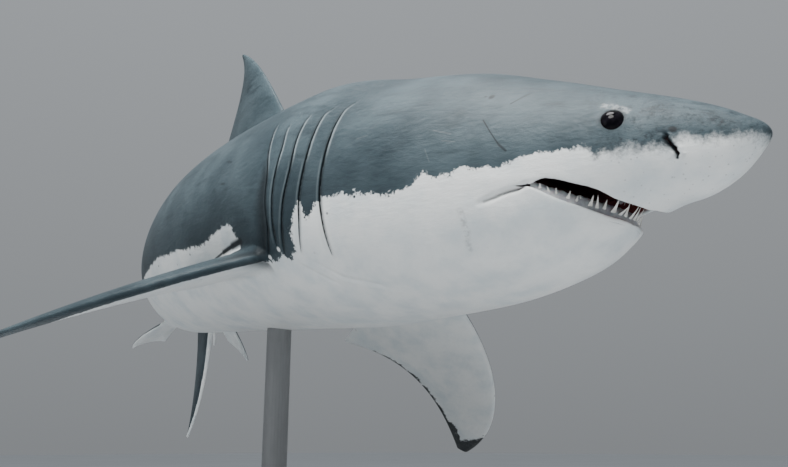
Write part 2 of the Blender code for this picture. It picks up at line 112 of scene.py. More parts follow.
# Gill slits: points (height, station) down each slit on the animal's right side.
GILL_SLITS = (
    ((5.1, 21.1), (4.2, 21.55), (1.5, 21.5), (-2.3, 21.65), (-4.6, 21.9)),
    ((5.0, 22.5), (4.2, 23.0), (1.6, 22.9), (-2.1, 23.3), (-4.3, 24.1)),
    ((4.8, 24.4), (3.0, 24.3), (1.0, 24.1), (-1.7, 24.6), (-4.3, 25.6)),
    ((4.4, 26.0), (2.0, 25.4), (-1.1, 25.5), (-3.8, 26.0)),
    ((4.9, 27.8), (3.0, 27.05), (0.0, 26.2), (-2.0, 26.2), (-4.4, 27.4)),
)
LEFT_SHOULDER_SHIFT = -1.3
# A slot's section: (how deep, how far back), the sides of the cut leaning forward a little.
GILL_SLOT = ((0.4, 0.22), (0.4, 0.0), (-0.6, 0.0), (-0.6, 0.14))

# Fin outlines, as Bezier control points (distance back, distance out) from the fin's origin:
# leading edge, the root's rear end, trailing edge, and the thickness at root and tip.
REAR_TIP_SHARE, THICKNESS_TAPER, TIP_CROWDING = 0.16, 1.2, 1.25
PECTORAL = (
    ((0, -2.2), (-0.6, 6.4), (3.7, 13.9), (9.9, 15.7)),
    (6.6, -2.2),
    ((13.3, 0.9), (7.6, 4.6), (8.7, 9.8), (10.7, 15.1)),
    (1.9, 0.25),
)
PELVIC = (
    ((0, -1.0), (0.5, 1.4), (2.4, 3.2), (4.5, 3.7)),
    (4.4, -1.0),
    ((7.4, 0.7), (5.4, 1.4), (4.6, 2.6), (4.7, 3.6)),
    (0.9, 0.2),
)
FIRST_DORSAL = (
    ((36.4, 7.0), (41.2, 12.6), (43.7, 17.5), (47.5, 19.95)),
    (46.6, 7.0),
    ((52.4, 9.6), (48.8, 13.6), (46.1, 16.8), (47.9, 19.8)),
    (1.7, 0.3),
)
SECOND_DORSAL = (
    ((72.6, 2.6), (73.8, 4.4), (74.8, 5.2), (75.6, 5.5)),
    (74.7, 2.6),
    ((78.0, 3.9), (76.4, 4.3), (75.8, 4.9), (75.7, 5.4)),
    (0.5, 0.16),
)
ANAL = (
    ((75.0, -1.2), (76.2, -2.7), (77.2, -3.7), (78.2, -4.0)),
    (77.2, -1.2),
    ((80.4, -2.3), (78.9, -2.8), (78.3, -3.4), (78.3, -3.9)),
    (0.5, 0.16),
)
UPPER_LOBE = (
    ((83.2, 0.61), (86.6, 5.4), (91.5, 11.2), (99.0, 15.4)),
    (89.6, 0.61),
    ((89.9, 1.6), (90.6, 5.2), (93.4, 10.6), (99.2, 15.1)),
    (1.5, 0.25),
)
LOWER_LOBE = (
    ((83.6, 0.6), (84.6, -5.2), (87.2, -11.0), (91.5, -14.6)),
    (89.6, 0.6),
    ((89.8, -0.6), (89.2, -4.0), (89.6, -10.0), (91.7, -14.3)),
    (1.2, 0.25),
)
# Paired fins: outline, side, origin (station, side, height), droop, rise of the leading edge, tip
# bend, span, and how far round the edge the dark of the upper face goes; on the right pectoral it
# reaches far onto the underside as painted shade.
PAIRED_FINS = (
    # The right pectoral: its dark wraps onto the underside as painted shade.
    (PECTORAL, -1, (27.4, 8.0, -4.1), 20, 5, 0.7, 17, 0.34),
    (PECTORAL, 1, (26.1, 8.0, -5.2), 38, 12, 0.5, 17, -0.03),
    (PELVIC, -1, (57.6, 3.2, -4.8), 27, 4, 0, 5, -0.03),
    (PELVIC, 1, (57.6, 3.2, -4.8), 50, 4, 0, 5, -0.03),
)
FLESH = (
    "head", "lower_jaw", "gill_region", "trunk_front", "trunk_rear", "tail_base",
    "caudal_peduncle", "first_dorsal_fin", "second_dorsal_fin", "anal_fin",
    "caudal_fin_upper_lobe", "caudal_fin_lower_lobe", "pectoral_fin_left",
    "pectoral_fin_right", "pelvic_fin_left", "pelvic_fin_right",
)

# ---------------------------------------------------------------- sizes of the finer forms
BODY_RING_POINTS = 400
HEAD_RINGS, HEAD_END = 380, 19.4
GILL_STEP, GILL_END, TRUNK_STEP = 0.045, 28.6, 0.3
FIN_ROWS, FIN_COLUMNS = 96, 30
EDGE_THICKNESS = 0.02
# How far the skin is rounded round a fin's root, at the big fins and at the small rear ones.
FILLETS = (0.9, 0.5)

PALATE_RISE, PALATE_SLOPE = 1.35, 0.55
FLOOR_DROP, FLOOR_SLOPE = 1.1, 0.5
JAW_WALL = 0.45
MOUTH_MIDDLE, MOUTH_MARGIN, MOUTH_GAP = (9.4, 0.0), 0.3, 0.01
LEFT_LIP_RISE, LEFT_LIP_RUN = 0.58, 1.8
# Where the lower jaw's front is narrower than the oval: (middle, length), how deep and, in plan,
# how far in its lip lies.
JAW_FRONT, JAW_FRONT_DEPTH, JAW_FRONT_INSET = (7.2, 0.75), 0.26, 0.351
UPPER_LIP_ROUNDING, LOWER_LIP_ROUNDING = 0.42, 0.3
BOX_ZONE, BOX_MARGIN = 0.06, 0.0003

# The edge of the dark back: (station, height).
COLOUR_LINE = (
    (0, -0.38), (2.2, -0.36), (3.3, -0.22), (3.8, -0.62), (4.4, -0.66), (5.5, -0.5), (6.9, -0.6),
    (7.6, -0.2), (8.9, -0.28), (10.2, -0.48), (11, -0.78), (12.6, -0.85), (13.2, -0.72),
    (14.5, -1.22), (15.2, -0.55), (15.8, -1.3), (17.1, -1.72), (18.9, -1.33), (21.6, -1.36),
    (22.6, -2.2), (22.95, -2.4), (23.1, -1.15), (23.7, -1.9), (24.3, -2.9), (24.45, -4.2),
    (25.2, -4.5), (25.9, -4.25), (27.1, -4.5), (29.6, -4.3), (30.9, -1.75), (32, -1.6),
    (36, -2.4), (46, -1.75), (57, -1.9), (68, -1.1), (88, 0.1), (110, 0.2),
)


# ---------------------------------------------------------------- the animal's own measures
def smooth_curve(points, x):
    """The monotone cubic curve through (x, y) points, read at x."""
    xs, ys = np.array(points, float).T
    steps = np.diff(xs)
    rises = np.diff(ys) / steps
    slopes = np.concatenate([rises[:1], np.zeros(len(xs) - 2), rises[-1:]])
    for i in range(1, len(xs) - 1):
        if rises[i - 1] * rises[i] > 0:
            before, after = 2 * steps[i] + steps[i - 1], steps[i] + 2 * steps[i - 1]
            slopes[i] = (before + after) / (before / rises[i - 1] + after / rises[i])
    x = np.clip(x, xs[0], xs[-1])
    i = np.clip(np.searchsorted(xs, x) - 1, 0, len(xs) - 2)
    t = (x - xs[i]) / steps[i]
    start = ys[i] * (1 + 2 * t) * (1 - t) ** 2 + slopes[i] * steps[i] * t * (1 - t) ** 2
    end = ys[i + 1] * t * t * (3 - 2 * t) + slopes[i + 1] * steps[i] * t * t * (t - 1)
    return start + end


def smooth_step(x, start, end):
    """0 before start, 1 after end, and smooth between them."""
    t = np.clip((x - start) / (end - start), 0, 1)
    return t * t * (3 - 2 * t)


def window(x, start, full, fade, end):
    """1 from full to fade, 0 before start and after end, and smooth between them."""
    return smooth_step(x, start, full) * (1 - smooth_step(x, fade, end))


def distance_to(points, seeds):
    """The distance from each point to the nearest seed."""
    tree = KDTree(len(seeds))
    for i, seed in enumerate(seeds):
        tree.insert(seed, i)
    tree.balance()
    return np.array([tree.find(point)[2] for point in points])


def bump(x, middle, width):
    """A bell of height 1."""
    return np.exp(-(((x - middle) / width) ** 2))


def bezier(points, t):
    """The cubic Bezier curve with four control points, read at t."""
    t = np.asarray(t, float)[..., None]
    a, b, c, d = (np.array(p, float) for p in points)
    return a * (1 - t) ** 3 + 3 * b * t * (1 - t) ** 2 + 3 * c * t * t * (1 - t) + d * t**3


def backbone():
    """Stations along the backbone line, with its points and its frame at each."""
    stations = np.arange(0, LAST_STATION, FINEST_STEP)
    yaw = np.radians(smooth_curve(YAW, stations))
    pitch = np.radians(smooth_curve(PITCH, stations))
    ahead = np.stack([np.cos(yaw) * np.cos(pitch), np.sin(yaw) * np.cos(pitch), np.sin(pitch)], -1)
    left = np.stack([-np.sin(yaw), np.cos(yaw), 0 * yaw], -1)
    up = np.cross(ahead, left)
    strides = (ahead[1:] + ahead[:-1]) / 2 * FINEST_STEP
    points = np.concatenate([np.zeros((1, 3)), -np.cumsum(strides, 0)])
    return stations, points, ahead, left, up


STATIONS, SPINE, AHEAD, LEFT, UP = backbone()


def at_station(values, station):
    return np.stack([np.interp(station, STATIONS, values[:, i]) for i in range(3)], -1)


ROD_POINT = at_station(SPINE, ROD_STATION)
SNOUT_TIP = np.array([-PERCENT * ROD_POINT[0], -PERCENT * ROD_POINT[1], SNOUT_HEIGHT])


def place(station, side, height):
    """World points, in metres, of places on the animal."""
    station, side, height = np.broadcast_arrays(station, side, height)
    percent = at_station(SPINE, station) + at_station(LEFT, station) * side[..., None]
    return SNOUT_TIP + (percent + at_station(UP, station) * height[..., None]) * PERCENT


def places_of(points):
    """The (station, side, height) of world points."""
    percent = (points - SNOUT_TIP) / PERCENT
    station = np.interp(-percent[:, 0], -SPINE[:, 0], STATIONS)
    for _ in range(14):
        away = percent - at_station(SPINE, station)
        station = np.clip(station - 0.8 * (away * at_station(AHEAD, station)).sum(-1), 0, 109)
    away = percent - at_station(SPINE, station)
    side = (away * at_station(LEFT, station)).sum(-1)
    return station, side, (away * at_station(UP, station)).sum(-1)


def section(station):
    """Top, bottom, half width and widest level of the body's section at a station."""
    root, *rows = np.array(SECTIONS, float).T
    root, at = np.sqrt(root), np.sqrt(station)
    return [smooth_curve(list(zip(root, row)), at) for row in rows]


def section_towards(station, height):
    """The section's half width and widest level, and its reach from there up or down."""
    top, bottom, half_width, level = section(station)
    return half_width, level, np.where(height > level, top - level, level - bottom)


def skin_side(station, height):
    """How far out the skin lies at a station and height."""
    half_width, level, reach = section_towards(np.asarray(station, float), height)
    return half_width * np.sqrt(np.clip(1 - ((height - level) / reach) ** 2, 0, 1))


def outside(station, side, height):
    """How far outside the body's oval a place is, in percent, and below 0 inside."""
    half_width, level, reach = section_towards(np.clip(station, 0.01, BODY_END), height)
    share = np.hypot(side / half_width, (height - level) / reach)
    return np.hypot(side, height - level) * (1 - 1 / np.clip(share, 0.05, None))


# ---------------------------------------------------------------- mesh tools
def new_object(name, points, faces):
    mesh = bpy.data.meshes.new(name)
    mesh.from_pydata(np.asarray(points).tolist(), [], faces)
    obj = bpy.data.objects.new(name, mesh)
    bpy.context.scene.collection.objects.link(obj)
    return obj


def grid_faces(rows, columns):
    """Quads of a grid of points, row by row, the last column joined to the first."""
    faces = []
    for row in range(0, (rows - 1) * columns, columns):
        for k in range(columns):
            n = (k + 1) % columns
            faces.append((row + k, row + n, row + columns + n, row + columns + k))
    return faces


def loft(name, rings):
    """A closed solid through rings of points, its ends drawn to a point."""
    rows, columns = rings.shape[:2]
    faces = grid_faces(rows, columns)
    points = np.concatenate([rings.reshape(-1, 3), rings[:1].mean(1), rings[-1:].mean(1)])
    first, last = len(points) - 2, len(points) - 1
    base = (rows - 1) * columns
    for k in range(columns):
        n = (k + 1) % columns
        faces += [(n, k, first), (base + k, base + n, last)]
    obj = new_object(name, points, faces)
    face_outwards(obj)
    return obj


def face_outwards(obj):
    work = bmesh.new()
    work.from_mesh(obj.data)
    bmesh.ops.recalc_face_normals(work, faces=work.faces)
    work.to_mesh(obj.data)
    work.free()


def joined(name, objects):
    """One object of several meshes that don't touch."""
    with bpy.context.temp_override(
        active_object=objects[0], object=objects[0], selected_editable_objects=objects
    ):
        bpy.ops.object.join()
    objects[0].name = objects[0].data.name = name
    return objects[0]


def apply_boolean(obj, cutter, operation):
    modifier = obj.modifiers.new(operation.lower(), "BOOLEAN")
    modifier.operation, modifier.object, modifier.solver = operation, cutter, "MANIFOLD"
    graph = bpy.context.evaluated_depsgraph_get()
    mesh = bpy.data.meshes.new_from_object(obj.evaluated_get(graph))
    obj.modifiers.clear()
    obj.data = mesh
    bpy.data.objects.remove(cutter)


def points_of(obj):
    points = np.empty(len(obj.data.vertices) * 3, np.float32)
    obj.data.vertices.foreach_get("co", points)
    return points.reshape(-1, 3).astype(float)


def set_points(obj, points):
    obj.data.vertices.foreach_set("co", points.astype(np.float32).ravel())
    obj.data.update()


def edges_of(obj):
    edges = np.empty(len(obj.data.edges) * 2, np.int32)
    obj.data.edges.foreach_get("vertices", edges)
    return edges.reshape(-1, 2)


def relax(obj, weight, rounds):
    """Draws points towards the middle of their neighbours, each by its own weight."""
    points, edges = points_of(obj), edges_of(obj)
    edges = edges[(weight[edges] > 0).any(1)]
    a, b = np.concatenate([edges, edges[:, ::-1]]).T
    count = np.bincount(a, minlength=len(points)).clip(1)[:, None]
    share = weight[:, None] * 0.5
    for _ in range(rounds):
        total = np.stack([np.bincount(a, points[b, i], len(points)) for i in range(3)], -1)
        points = points + share * (total / count - points)
    set_points(obj, points)


def add_field(obj, name, values):
    kind, key = ("FLOAT_VECTOR", "vector") if np.ndim(values) == 2 else ("FLOAT", "value")
    attribute = obj.data.attributes.new(name, kind, "POINT")
    attribute.data.foreach_set(key, np.asarray(values, np.float32).ravel())


# ---------------------------------------------------------------- the body
def gill_station(index, height, side):
    """Where a gill slit runs at a height."""
    line = sorted(GILL_SLITS[index])
    shift = np.where(np.asarray(side) > 0, LEFT_SHOULDER_SHIFT, 0)
    return smooth_curve(line, height) + shift


def beside_gill(index, station, side, height):
    """How far behind a gill slit a place is, and how near the slit's span: 1 within, 0 beyond."""
    (top, _), *_, (low, _) = GILL_SLITS[index]
    span = window(height, low - 0.1, low + 0.9, top - 0.9, top + 0.1)
    return station - gill_station(index, height, side), span


def gill_flaps(station, side, height):
    """The skin stands up a little towards each slit and drops behind it."""
    lift = 0 * station
    for index in range(len(GILL_SLITS)):
        behind, span = beside_gill(index, station, side, height)
        rising = 0.05 * np.exp(np.minimum(behind, 0) / 0.7)
        dropped = -0.035 * np.exp(-np.maximum(behind, 0) / 0.35)
        lift = lift + span * np.where(behind < 0, rising, dropped)
    return lift


def groove(station, height, points, width, depth):
    """A furrow along a line of (station, height) points, ending softly."""
    line = sorted(points)
    start, end = line[0][0], line[-1][0]
    fade = window(station, start, start + 0.25 * (end - start), end - 0.35 * (end - start), end)
    return -depth * fade * bump(height, smooth_curve(line, station), width)


MOUTH_FOLD = ((9.7, -1.72), (10.2, -1.84), (10.5, -1.98), (11.1, -2.1), (11.8, -2.32), (12.9, -2.65))
THROAT_FOLDS = (
    ((19.2, -6.35), (20.7, -5.95), (22.2, -5.6), (23.0, -5.0), (24.0, -4.5)),
    ((22.6, -6.0), (23.4, -5.6), (24.2, -5.1), (25.1, -4.6)),
)
NOSTRIL = (
    (3.83, -0.2), (3.77, -0.38), (3.66, -0.52), (3.57, -0.68), (3.52, -0.88), (3.57, -1.08),
)
NOSTRIL_WIDTHS = (0.16, 0.17, 0.13, 0.1, 0.07)


# Low swellings and hollows: how high, then middle and width along the body and up it.
SWELLINGS = (
    # The cheek above and below the fold behind the mouth's corner.
    (0.07, (11.5, 1.1), (-1.55, 0.5)),
    (0.11, (11.4, 1.3), (-3.1, 0.8)),
    # The brow.
    (0.06, (5.9, 0.8), (2.15, 0.35)),
)


def jaw_front(station, height):
    """The lower jaw's front is narrower than the oval, and blunt below its lip."""
    return JAW_FRONT_DEPTH * bump(station, *JAW_FRONT) * window(height, -3.75, -3.3, -2.95, -2.75)


def nostril_relief(station, height):
    """A winding slit, with a flap of skin before it."""
    line = smooth_curve(sorted((h, s) for s, h in NOSTRIL), height)
    slit = station - line - 0.03 * np.sin(height * 22)
    span = window(height, -1.2, -0.9, -0.1, 0.15)
    flap = span * (0.08 * bump(slit, -0.2, 0.12) - 0.26 * bump(slit, 0.01, 0.065))
    return flap, span * 0.04 * bump(slit, 0.2, 0.12)


def skin_relief(station, side, height):
    """How far the skin stands out from its plain oval, in percent."""
    shift = np.where(side > 0, -LEFT_SHOULDER_SHIFT, 0)
    relief = gill_flaps(station, side, height)
    relief += groove(station, height, MOUTH_FOLD, 0.12, 0.26)
    for size, along_body, upwards in SWELLINGS:
        relief += size * bump(station, *along_body) * bump(height, *upwards)
    for fold in THROAT_FOLDS:
        relief += groove(station + shift, height, fold, 0.11, 0.1)
    # The orbit: a soft rim round the eye.
    from_eye = np.hypot(station - EYE_PLACE[0], height - EYE_PLACE[2])
    relief += 0.015 * bump(from_eye, 0.62, 0.14)
    relief -= 0.025 * bump(from_eye, 1.1, 0.35)
    for part in nostril_relief(station, height):
        relief += part
    relief -= jaw_front(station, height)
    # The snout is a little hollow below, ahead of the mouth.
    relief -= 0.15 * bump(station, 4.9, 0.9) * smooth_step(-height, 1.8, 2.8)
    # The notches above and below the tail stalk, before the tail fin.
    return relief - 0.35 * (bump(station, 85.6, 0.7) * bump(side, 0, 0.9))


def make_body():
    """The body in one piece, in rings that lie closest at the head."""
    head = (np.linspace(0.05, math.sqrt(HEAD_END), HEAD_RINGS)) ** 2
    gills = np.arange(HEAD_END + GILL_STEP, GILL_END, GILL_STEP)
    trunk = np.arange(GILL_END + TRUNK_STEP / 3, BODY_END, TRUNK_STEP)
    stations = np.concatenate([head, gills, trunk, [BODY_END]])[:, None]
    turn = np.linspace(0, 2 * np.pi, BODY_RING_POINTS, endpoint=False)[None, :]
    top, bottom, half_width, level = section(stations)
    keel = smooth_curve(KEEL_WIDTH, stations) * np.abs(np.sin(turn)) ** KEEL_SHARPNESS
    keel = np.where(stations < KEEL_WIDTH[0][0], 0, keel)
    rise = np.where(np.cos(turn) > 0, top - level, level - bottom)
    side = (half_width + keel) * np.sin(turn)
    height = level + rise * np.cos(turn)
    # Outward directions in the section, from the ring's own run.
    run_side = np.roll(side, -1, 1) - np.roll(side, 1, 1)
    run_height = np.roll(height, -1, 1) - np.roll(height, 1, 1)
    length = np.hypot(run_side, run_height) + 1e-9
    relief = skin_relief(stations + 0 * side, side, height)
    side, height = side - relief * run_height / length, height + relief * run_side / length
    return loft("shark_skin", place(stations, side, height))


# ---------------------------------------------------------------- fins
def blade_half_thickness(t):
    """A streamlined section: half thickness at t along the chord, 1 at its thickest."""
    return 2.6 * np.sqrt(t) - 1.0 * t - 2.6 * t**2 + 1.0 * t**3


def make_fin(name, fin, to_world):
    """A fin in rings from its root to its tip. to_world takes back, out and across."""
    leading, root, trailing, (root_thick, tip_thick) = fin
    v = 1 - (1 - np.linspace(0, 1, FIN_ROWS)) ** TIP_CROWDING
    root, rear_tip = np.array((root, trailing[0]), float)
    leading = bezier(leading, v)
    share = np.clip(v / REAR_TIP_SHARE, 0, 1)[:, None]
    trailing = bezier(trailing, np.clip((v - REAR_TIP_SHARE) / (1 - REAR_TIP_SHARE), 0, 1))
    trailing = np.where(share < 1, root + (rear_tip - root) * share, trailing)
    thick = tip_thick + (root_thick - tip_thick) * (1 - v) ** THICKNESS_TAPER
    t = (1 - np.cos(np.linspace(0, np.pi, FIN_COLUMNS))) / 2
    across = blade_half_thickness(t) / 2
    across[-1] = 0
    edge = np.full(FIN_COLUMNS, EDGE_THICKNESS)
    edge[[0, -1]] = 0
    t = np.concatenate([t, t[-2:0:-1]])
    across = np.concatenate([across, -across[-2:0:-1]])
    edge = np.concatenate([edge, -edge[-2:0:-1]])
    flat = leading[:, None] + (trailing - leading)[:, None] * t[None, :, None]
    return loft(name, to_world(flat[..., 0], flat[..., 1], thick[:, None] * across + edge))


def upright(back, out, across):
    """A fin on the animal's middle plane."""
    return place(back, across, out)


def paired(side, origin, droop, rise, bend, span):
    """A function that hangs a paired fin's outline on its place at the body's side."""
    station, out, height = origin
    slope, attack = math.radians(droop), math.radians(rise)

    def to_world(back, reach, across):
        across = across - bend * (np.clip(reach, 0, None) / span) ** 2
        rear = back * math.cos(attack) + across * math.sin(attack)
        lift = across * math.cos(attack) - back * math.sin(attack)
        sideways = out + reach * math.cos(slope) + lift * math.sin(slope)
        above = height - reach * math.sin(slope) + lift * math.cos(slope)
        return place(station + rear, side * sideways, above)

    return to_world


def own_measures(station, side, height, pose):
    """Back, out and across of places, as a paired fin measures them."""
    fin_side, origin, droop, rise, bend, span = pose
    slope, attack = math.radians(droop), math.radians(rise)
    rear, out, above = station - origin[0], side * fin_side - origin[1], height - origin[2]
    reach = out * math.cos(slope) - above * math.sin(slope)
    lift = out * math.sin(slope) + above * math.cos(slope)
    back = rear * math.cos(attack) - lift * math.sin(attack)
    across = lift * math.cos(attack) + rear * math.sin(attack)
    return back, reach, across + bend * (np.clip(reach, 0, None) / span) ** 2


def make_fins():
    fins = [make_fin("paired_fin", outline, paired(*pose)) for outline, *pose, _ in PAIRED_FINS]
    for outline in (FIRST_DORSAL, SECOND_DORSAL, ANAL, UPPER_LOBE, LOWER_LOBE):
        fins.append(make_fin("upright_fin", outline, upright))
    return fins


def soften_fin_roots(skin):
    """Rounds the creases where the fins leave the body, over a few centimetres."""
    work = bmesh.new()
    work.from_mesh(skin.data)
    creases = set()
    for edge in work.edges:
        if len(edge.link_faces) == 2 and edge.calc_face_angle_signed(0) < -0.3:
            creases.update(v.index for v in edge.verts)
    work.free()
    points = points_of(skin)
    station, side, height = places_of(points)
    out = outside(station, side, height)
    creases = np.array(sorted(creases))
    seeds = creases[(station[creases] > 29) | ((station[creases] > 24) & (height[creases] < -2.5))]
    seeds = seeds[(out[seeds] > -0.3) & (out[seeds] < 0.6)]
    reach = np.where(station < 56, *FILLETS) * PERCENT
    weight = np.zeros(len(points))
    near = np.flatnonzero((station > 29) | ((station > 24.6) & (height < -2.5)))
    away = distance_to(points[near], points[seeds])
    weight[near] = 1 - smooth_step(away / reach[near], 0.3, 1)
    relax(skin, weight, 40)


# ---------------------------------------------------------------- the mouth
def upper_lip_height(station, side):
    """The upper lip's height, drawn up a little on the left."""
    drawn_up = LEFT_LIP_RISE * np.tanh(np.clip(side, 0, None) / LEFT_LIP_RUN)
    drawn_up = drawn_up * (1 - smooth_step(station, 7.5, 9.5))
    return smooth_curve(UPPER_LIP, station) + drawn_up


def lower_lip_height(station, side):
    return smooth_curve(LOWER_LIP, np.minimum(station, MOUTH_CORNER)) + 0 * side


def lip_path(height_at, count=300):
    """(station, side) along a lip, from the mouth's left corner round the front to the right one."""
    stations = np.linspace(math.sqrt(UPPER_LIP[0][0]), math.sqrt(MOUTH_CORNER), count) ** 2
    halves = []
    for sign in (1, -1):
        side = 0 * stations
        for _ in range(5):
            side = skin_side(stations, height_at(stations, sign * side))
        met = side > 0
        halves.append(np.stack([stations[met], sign * side[met]], -1))
    return np.concatenate([halves[0][::-1], halves[1]])


def inwards(path):
    """The direction to a path's right hand side, at each of its points."""
    ahead = np.gradient(path, axis=0)
    return np.stack([-ahead[:, 1], ahead[:, 0]], -1) / np.linalg.norm(ahead, axis=1)[:, None]


def along(path, count, start=0.0, end=1.0):
    """Evenly spaced points along a path, with the direction to its right hand side at each."""
    run = np.concatenate([[0], np.cumsum(np.hypot(*np.diff(path, axis=0).T))])
    at = np.linspace(start, end, count) * run[-1]
    points = np.stack([np.interp(at, run, path[:, k]) for k in (0, 1)], -1)
    return points, inwards(points)


def nearest(station, side, path):
    """Distance in plan from places to a path."""
    flat = np.stack([station, side], -1).reshape(-1, 1, 2)
    found = [np.sqrt(((chunk - path[None]) ** 2).sum(-1).min(1)) for chunk in np.array_split(flat, 24)]
    return np.concatenate(found).reshape(np.shape(station))


def drawn_in(path):
    """The lower lip's path, drawn in where the jaw's front is narrower than the oval."""
    return path + inwards(path) * (JAW_FRONT_INSET * bump(path[:, 0], *JAW_FRONT))[:, None]


UPPER_PATH, LOWER_PATH = lip_path(upper_lip_height), drawn_in(lip_path(lower_lip_height))


def behind_lip(station, side, height_at, path):
    """Distance in plan behind a lip, below 0 before it."""
    inside = np.abs(side) < skin_side(station, height_at(station, side))
    inside = (inside | (station > MOUTH_CORNER)) & (station > UPPER_LIP[0][0])
    away = nearest(station, side, path)
    return np.where(inside, away, -away)


def jaw_depth(station, side):
    """The jaw's thickness at the lower lip's level, from there down to its skin."""
    _, bottom, half_width, level = section(np.clip(station, 0.01, BODY_END))
    share = np.sqrt(np.clip(1 - (side / half_width) ** 2, 0, 1))
    return np.clip(lower_lip_height(station, side) - (level - (level - bottom) * share), 0, None)


def mouth_plan():
    """(station, side) of rings that shrink from the mouth's outline to its middle, and the throat."""
    front, inward = along(UPPER_PATH, 260)
    front = front - inward * MOUTH_MARGIN
    station, side = front[-1]
    turn = np.linspace(-np.pi / 2, np.pi / 2, 122)[1:-1]
    throat = np.stack([station + THROAT_DEPTH * np.cos(turn), abs(side) * np.sin(turn)], -1)
    outline = np.concatenate([front, throat])
    middle = np.array(MOUTH_MIDDLE)
    plan = middle + (outline - middle) * np.linspace(1, 0, 64)[:-1, None, None]
    return plan[..., 0], plan[..., 1], throat


def make_mouth():
    """The hollow of the mouth, open between the lips and closing at the throat."""
    station, side, throat = mouth_plan()
    upper = behind_lip(station, side, upper_lip_height, UPPER_PATH)
    lower = behind_lip(station, side, lower_lip_height, LOWER_PATH)
    top, low = upper_lip_height(station, side), lower_lip_height(station, side)
    room = smooth_step(nearest(station, side, throat), 0, 1.2)
    room = np.where(station > MOUTH_CORNER - 2, room, 1)
    rise = np.where(upper > 0, PALATE_RISE * (1 - bump(upper, 0, PALATE_SLOPE)), upper)
    drop = np.minimum(FLOOR_DROP, JAW_WALL * jaw_depth(station, side))
    drop = np.where(lower > 0, drop * (1 - bump(lower, 0, FLOOR_SLOPE)), -2 * lower)
    roof = low + room * (np.clip(top - low, 0.02, None) + rise) + MOUTH_GAP
    floor = low - room * drop - MOUTH_GAP
    rows, columns = station.shape
    points = np.concatenate([
        place(station, side, roof).reshape(-1, 3),
        place(station, side, floor).reshape(-1, 3),
        place(*MOUTH_MIDDLE, roof[-1].mean())[None],
        place(*MOUTH_MIDDLE, floor[-1].mean())[None],
    ])
    under, last = rows * columns, (rows - 1) * columns
    faces = grid_faces(rows, columns)
    faces += [tuple(i + under for i in face[::-1]) for face in faces]
    for k in range(columns):
        n = (k + 1) % columns
        faces.append((n, k, k + under, n + under))
        faces.append((last + k, last + n, 2 * under))
        faces.append((last + n + under, last + k + under, 2 * under + 1))
    obj = new_object("mouth_hollow", points, faces)
    face_outwards(obj)
    return obj


def eye_frame(side):
    """The eye's middle and the unit vector pointing out of its socket."""
    station, out, height = EYE_PLACE

    def beside(back, up):
        return place(station + back, side * skin_side(station + back, height + up), height + up)

    outward = np.cross(beside(-0.5, 0) - beside(0.5, 0), beside(0, 0.5) - beside(0, -0.5)) * -side
    return place(station, side * out, height), outward / np.linalg.norm(outward)


def make_ball(name, side, radius, rows=48, columns=96):
    """A ball in an eye's place, its pole looking out."""
    middle, outward = eye_frame(side)
    centre = middle - outward * (EYE_RADIUS - EYE_BULGE) * PERCENT
    across = np.cross(outward, (0, 0, 1.0))
    across /= np.linalg.norm(across)
    up = np.cross(across, outward)
    lean = np.linspace(0.02, np.pi - 0.02, rows)[:, None, None]
    turn = np.linspace(0, 2 * np.pi, columns, endpoint=False)[None, :, None]
    rings = outward * np.cos(lean) + (across * np.cos(turn) + up * np.sin(turn)) * np.sin(lean)
    return loft(name, centre + rings * radius)


def make_gill_slot(index, side):
    """A narrow curved slot behind one gill flap."""
    slit = GILL_SLITS[index]
    height = np.linspace(slit[0][0] - 0.15, slit[-1][0] + 0.15, 90)
    station = gill_station(index, height, side)
    out = skin_side(station, height)
    fade = np.sin(np.linspace(0.03, 0.97, 90) * math.pi) ** 0.5
    rings = []
    for depth, back in GILL_SLOT:
        deep = np.where(depth < 0, depth * fade, depth)
        rings.append(place(station + 0.02 + back * fade, side * (out + deep), height))
    return loft("gill_slot", np.stack(rings, 1))


def make_skin():
    """The body with its fins, cut open at the mouth, gills and eyes."""
    skin = make_body()
    lower_lobe, *fins = reversed(make_fins())
    apply_boolean(skin, joined("fins", fins), "UNION")
    apply_boolean(skin, lower_lobe, "UNION")
    soften_fin_roots(skin)
    cutters = [make_mouth()]
    for side in (1, -1):
        cutters.append(make_ball("socket", side, (EYE_RADIUS + SOCKET_GAP) * PERCENT))
        cutters += [make_gill_slot(index, side) for index in range(len(GILL_SLITS))]
    apply_boolean(skin, joined("cutters", cutters), "DIFFERENCE")
    round_lips(skin)
    return skin


def round_lips(skin):
    """Takes the sharp edge off both lips."""
    points = points_of(skin)
    station, _, height = places_of(points)
    weight = np.zeros(len(station))
    near = np.flatnonzero((station > 5.3) & (station < 10.7) & (height < -1))
    for lip, height_at, width in (
        (UPPER_PATH, upper_lip_height, UPPER_LIP_ROUNDING),
        (LOWER_PATH, lower_lip_height, LOWER_LIP_ROUNDING),
    ):
        path, _ = along(lip, 600)
        line = place(*path.T, height_at(*path.T))
        away = distance_to(points[near], line) / PERCENT
        ends = 1 - smooth_step(station[near], 8.6, 10.2)
        reach = 0.1 + (width - 0.1) * ends
        weight[near] = np.maximum(weight[near], 1 - smooth_step(away / reach, 0.3, 1))
    relax(skin, weight, 30)


# ---------------------------------------------------------------- fields the skin is painted by
def from_line(line, x, y):
    """Signed distance to a line of points that runs along x, above 0 over it."""
    best = np.full(len(x), 9.0)
    for (ax, ay), (bx, by) in zip(line[:-1], line[1:]):
        run = (bx - ax) ** 2 + (by - ay) ** 2
        t = np.clip(((x - ax) * (bx - ax) + (y - ay) * (by - ay)) / run, 0, 1)
        best = np.minimum(best, np.hypot(x - ax - t * (bx - ax), y - ay - t * (by - ay)))
    xs, ys = np.array(line, float).T
    return np.where(y > np.interp(x, xs, ys), best, -best)


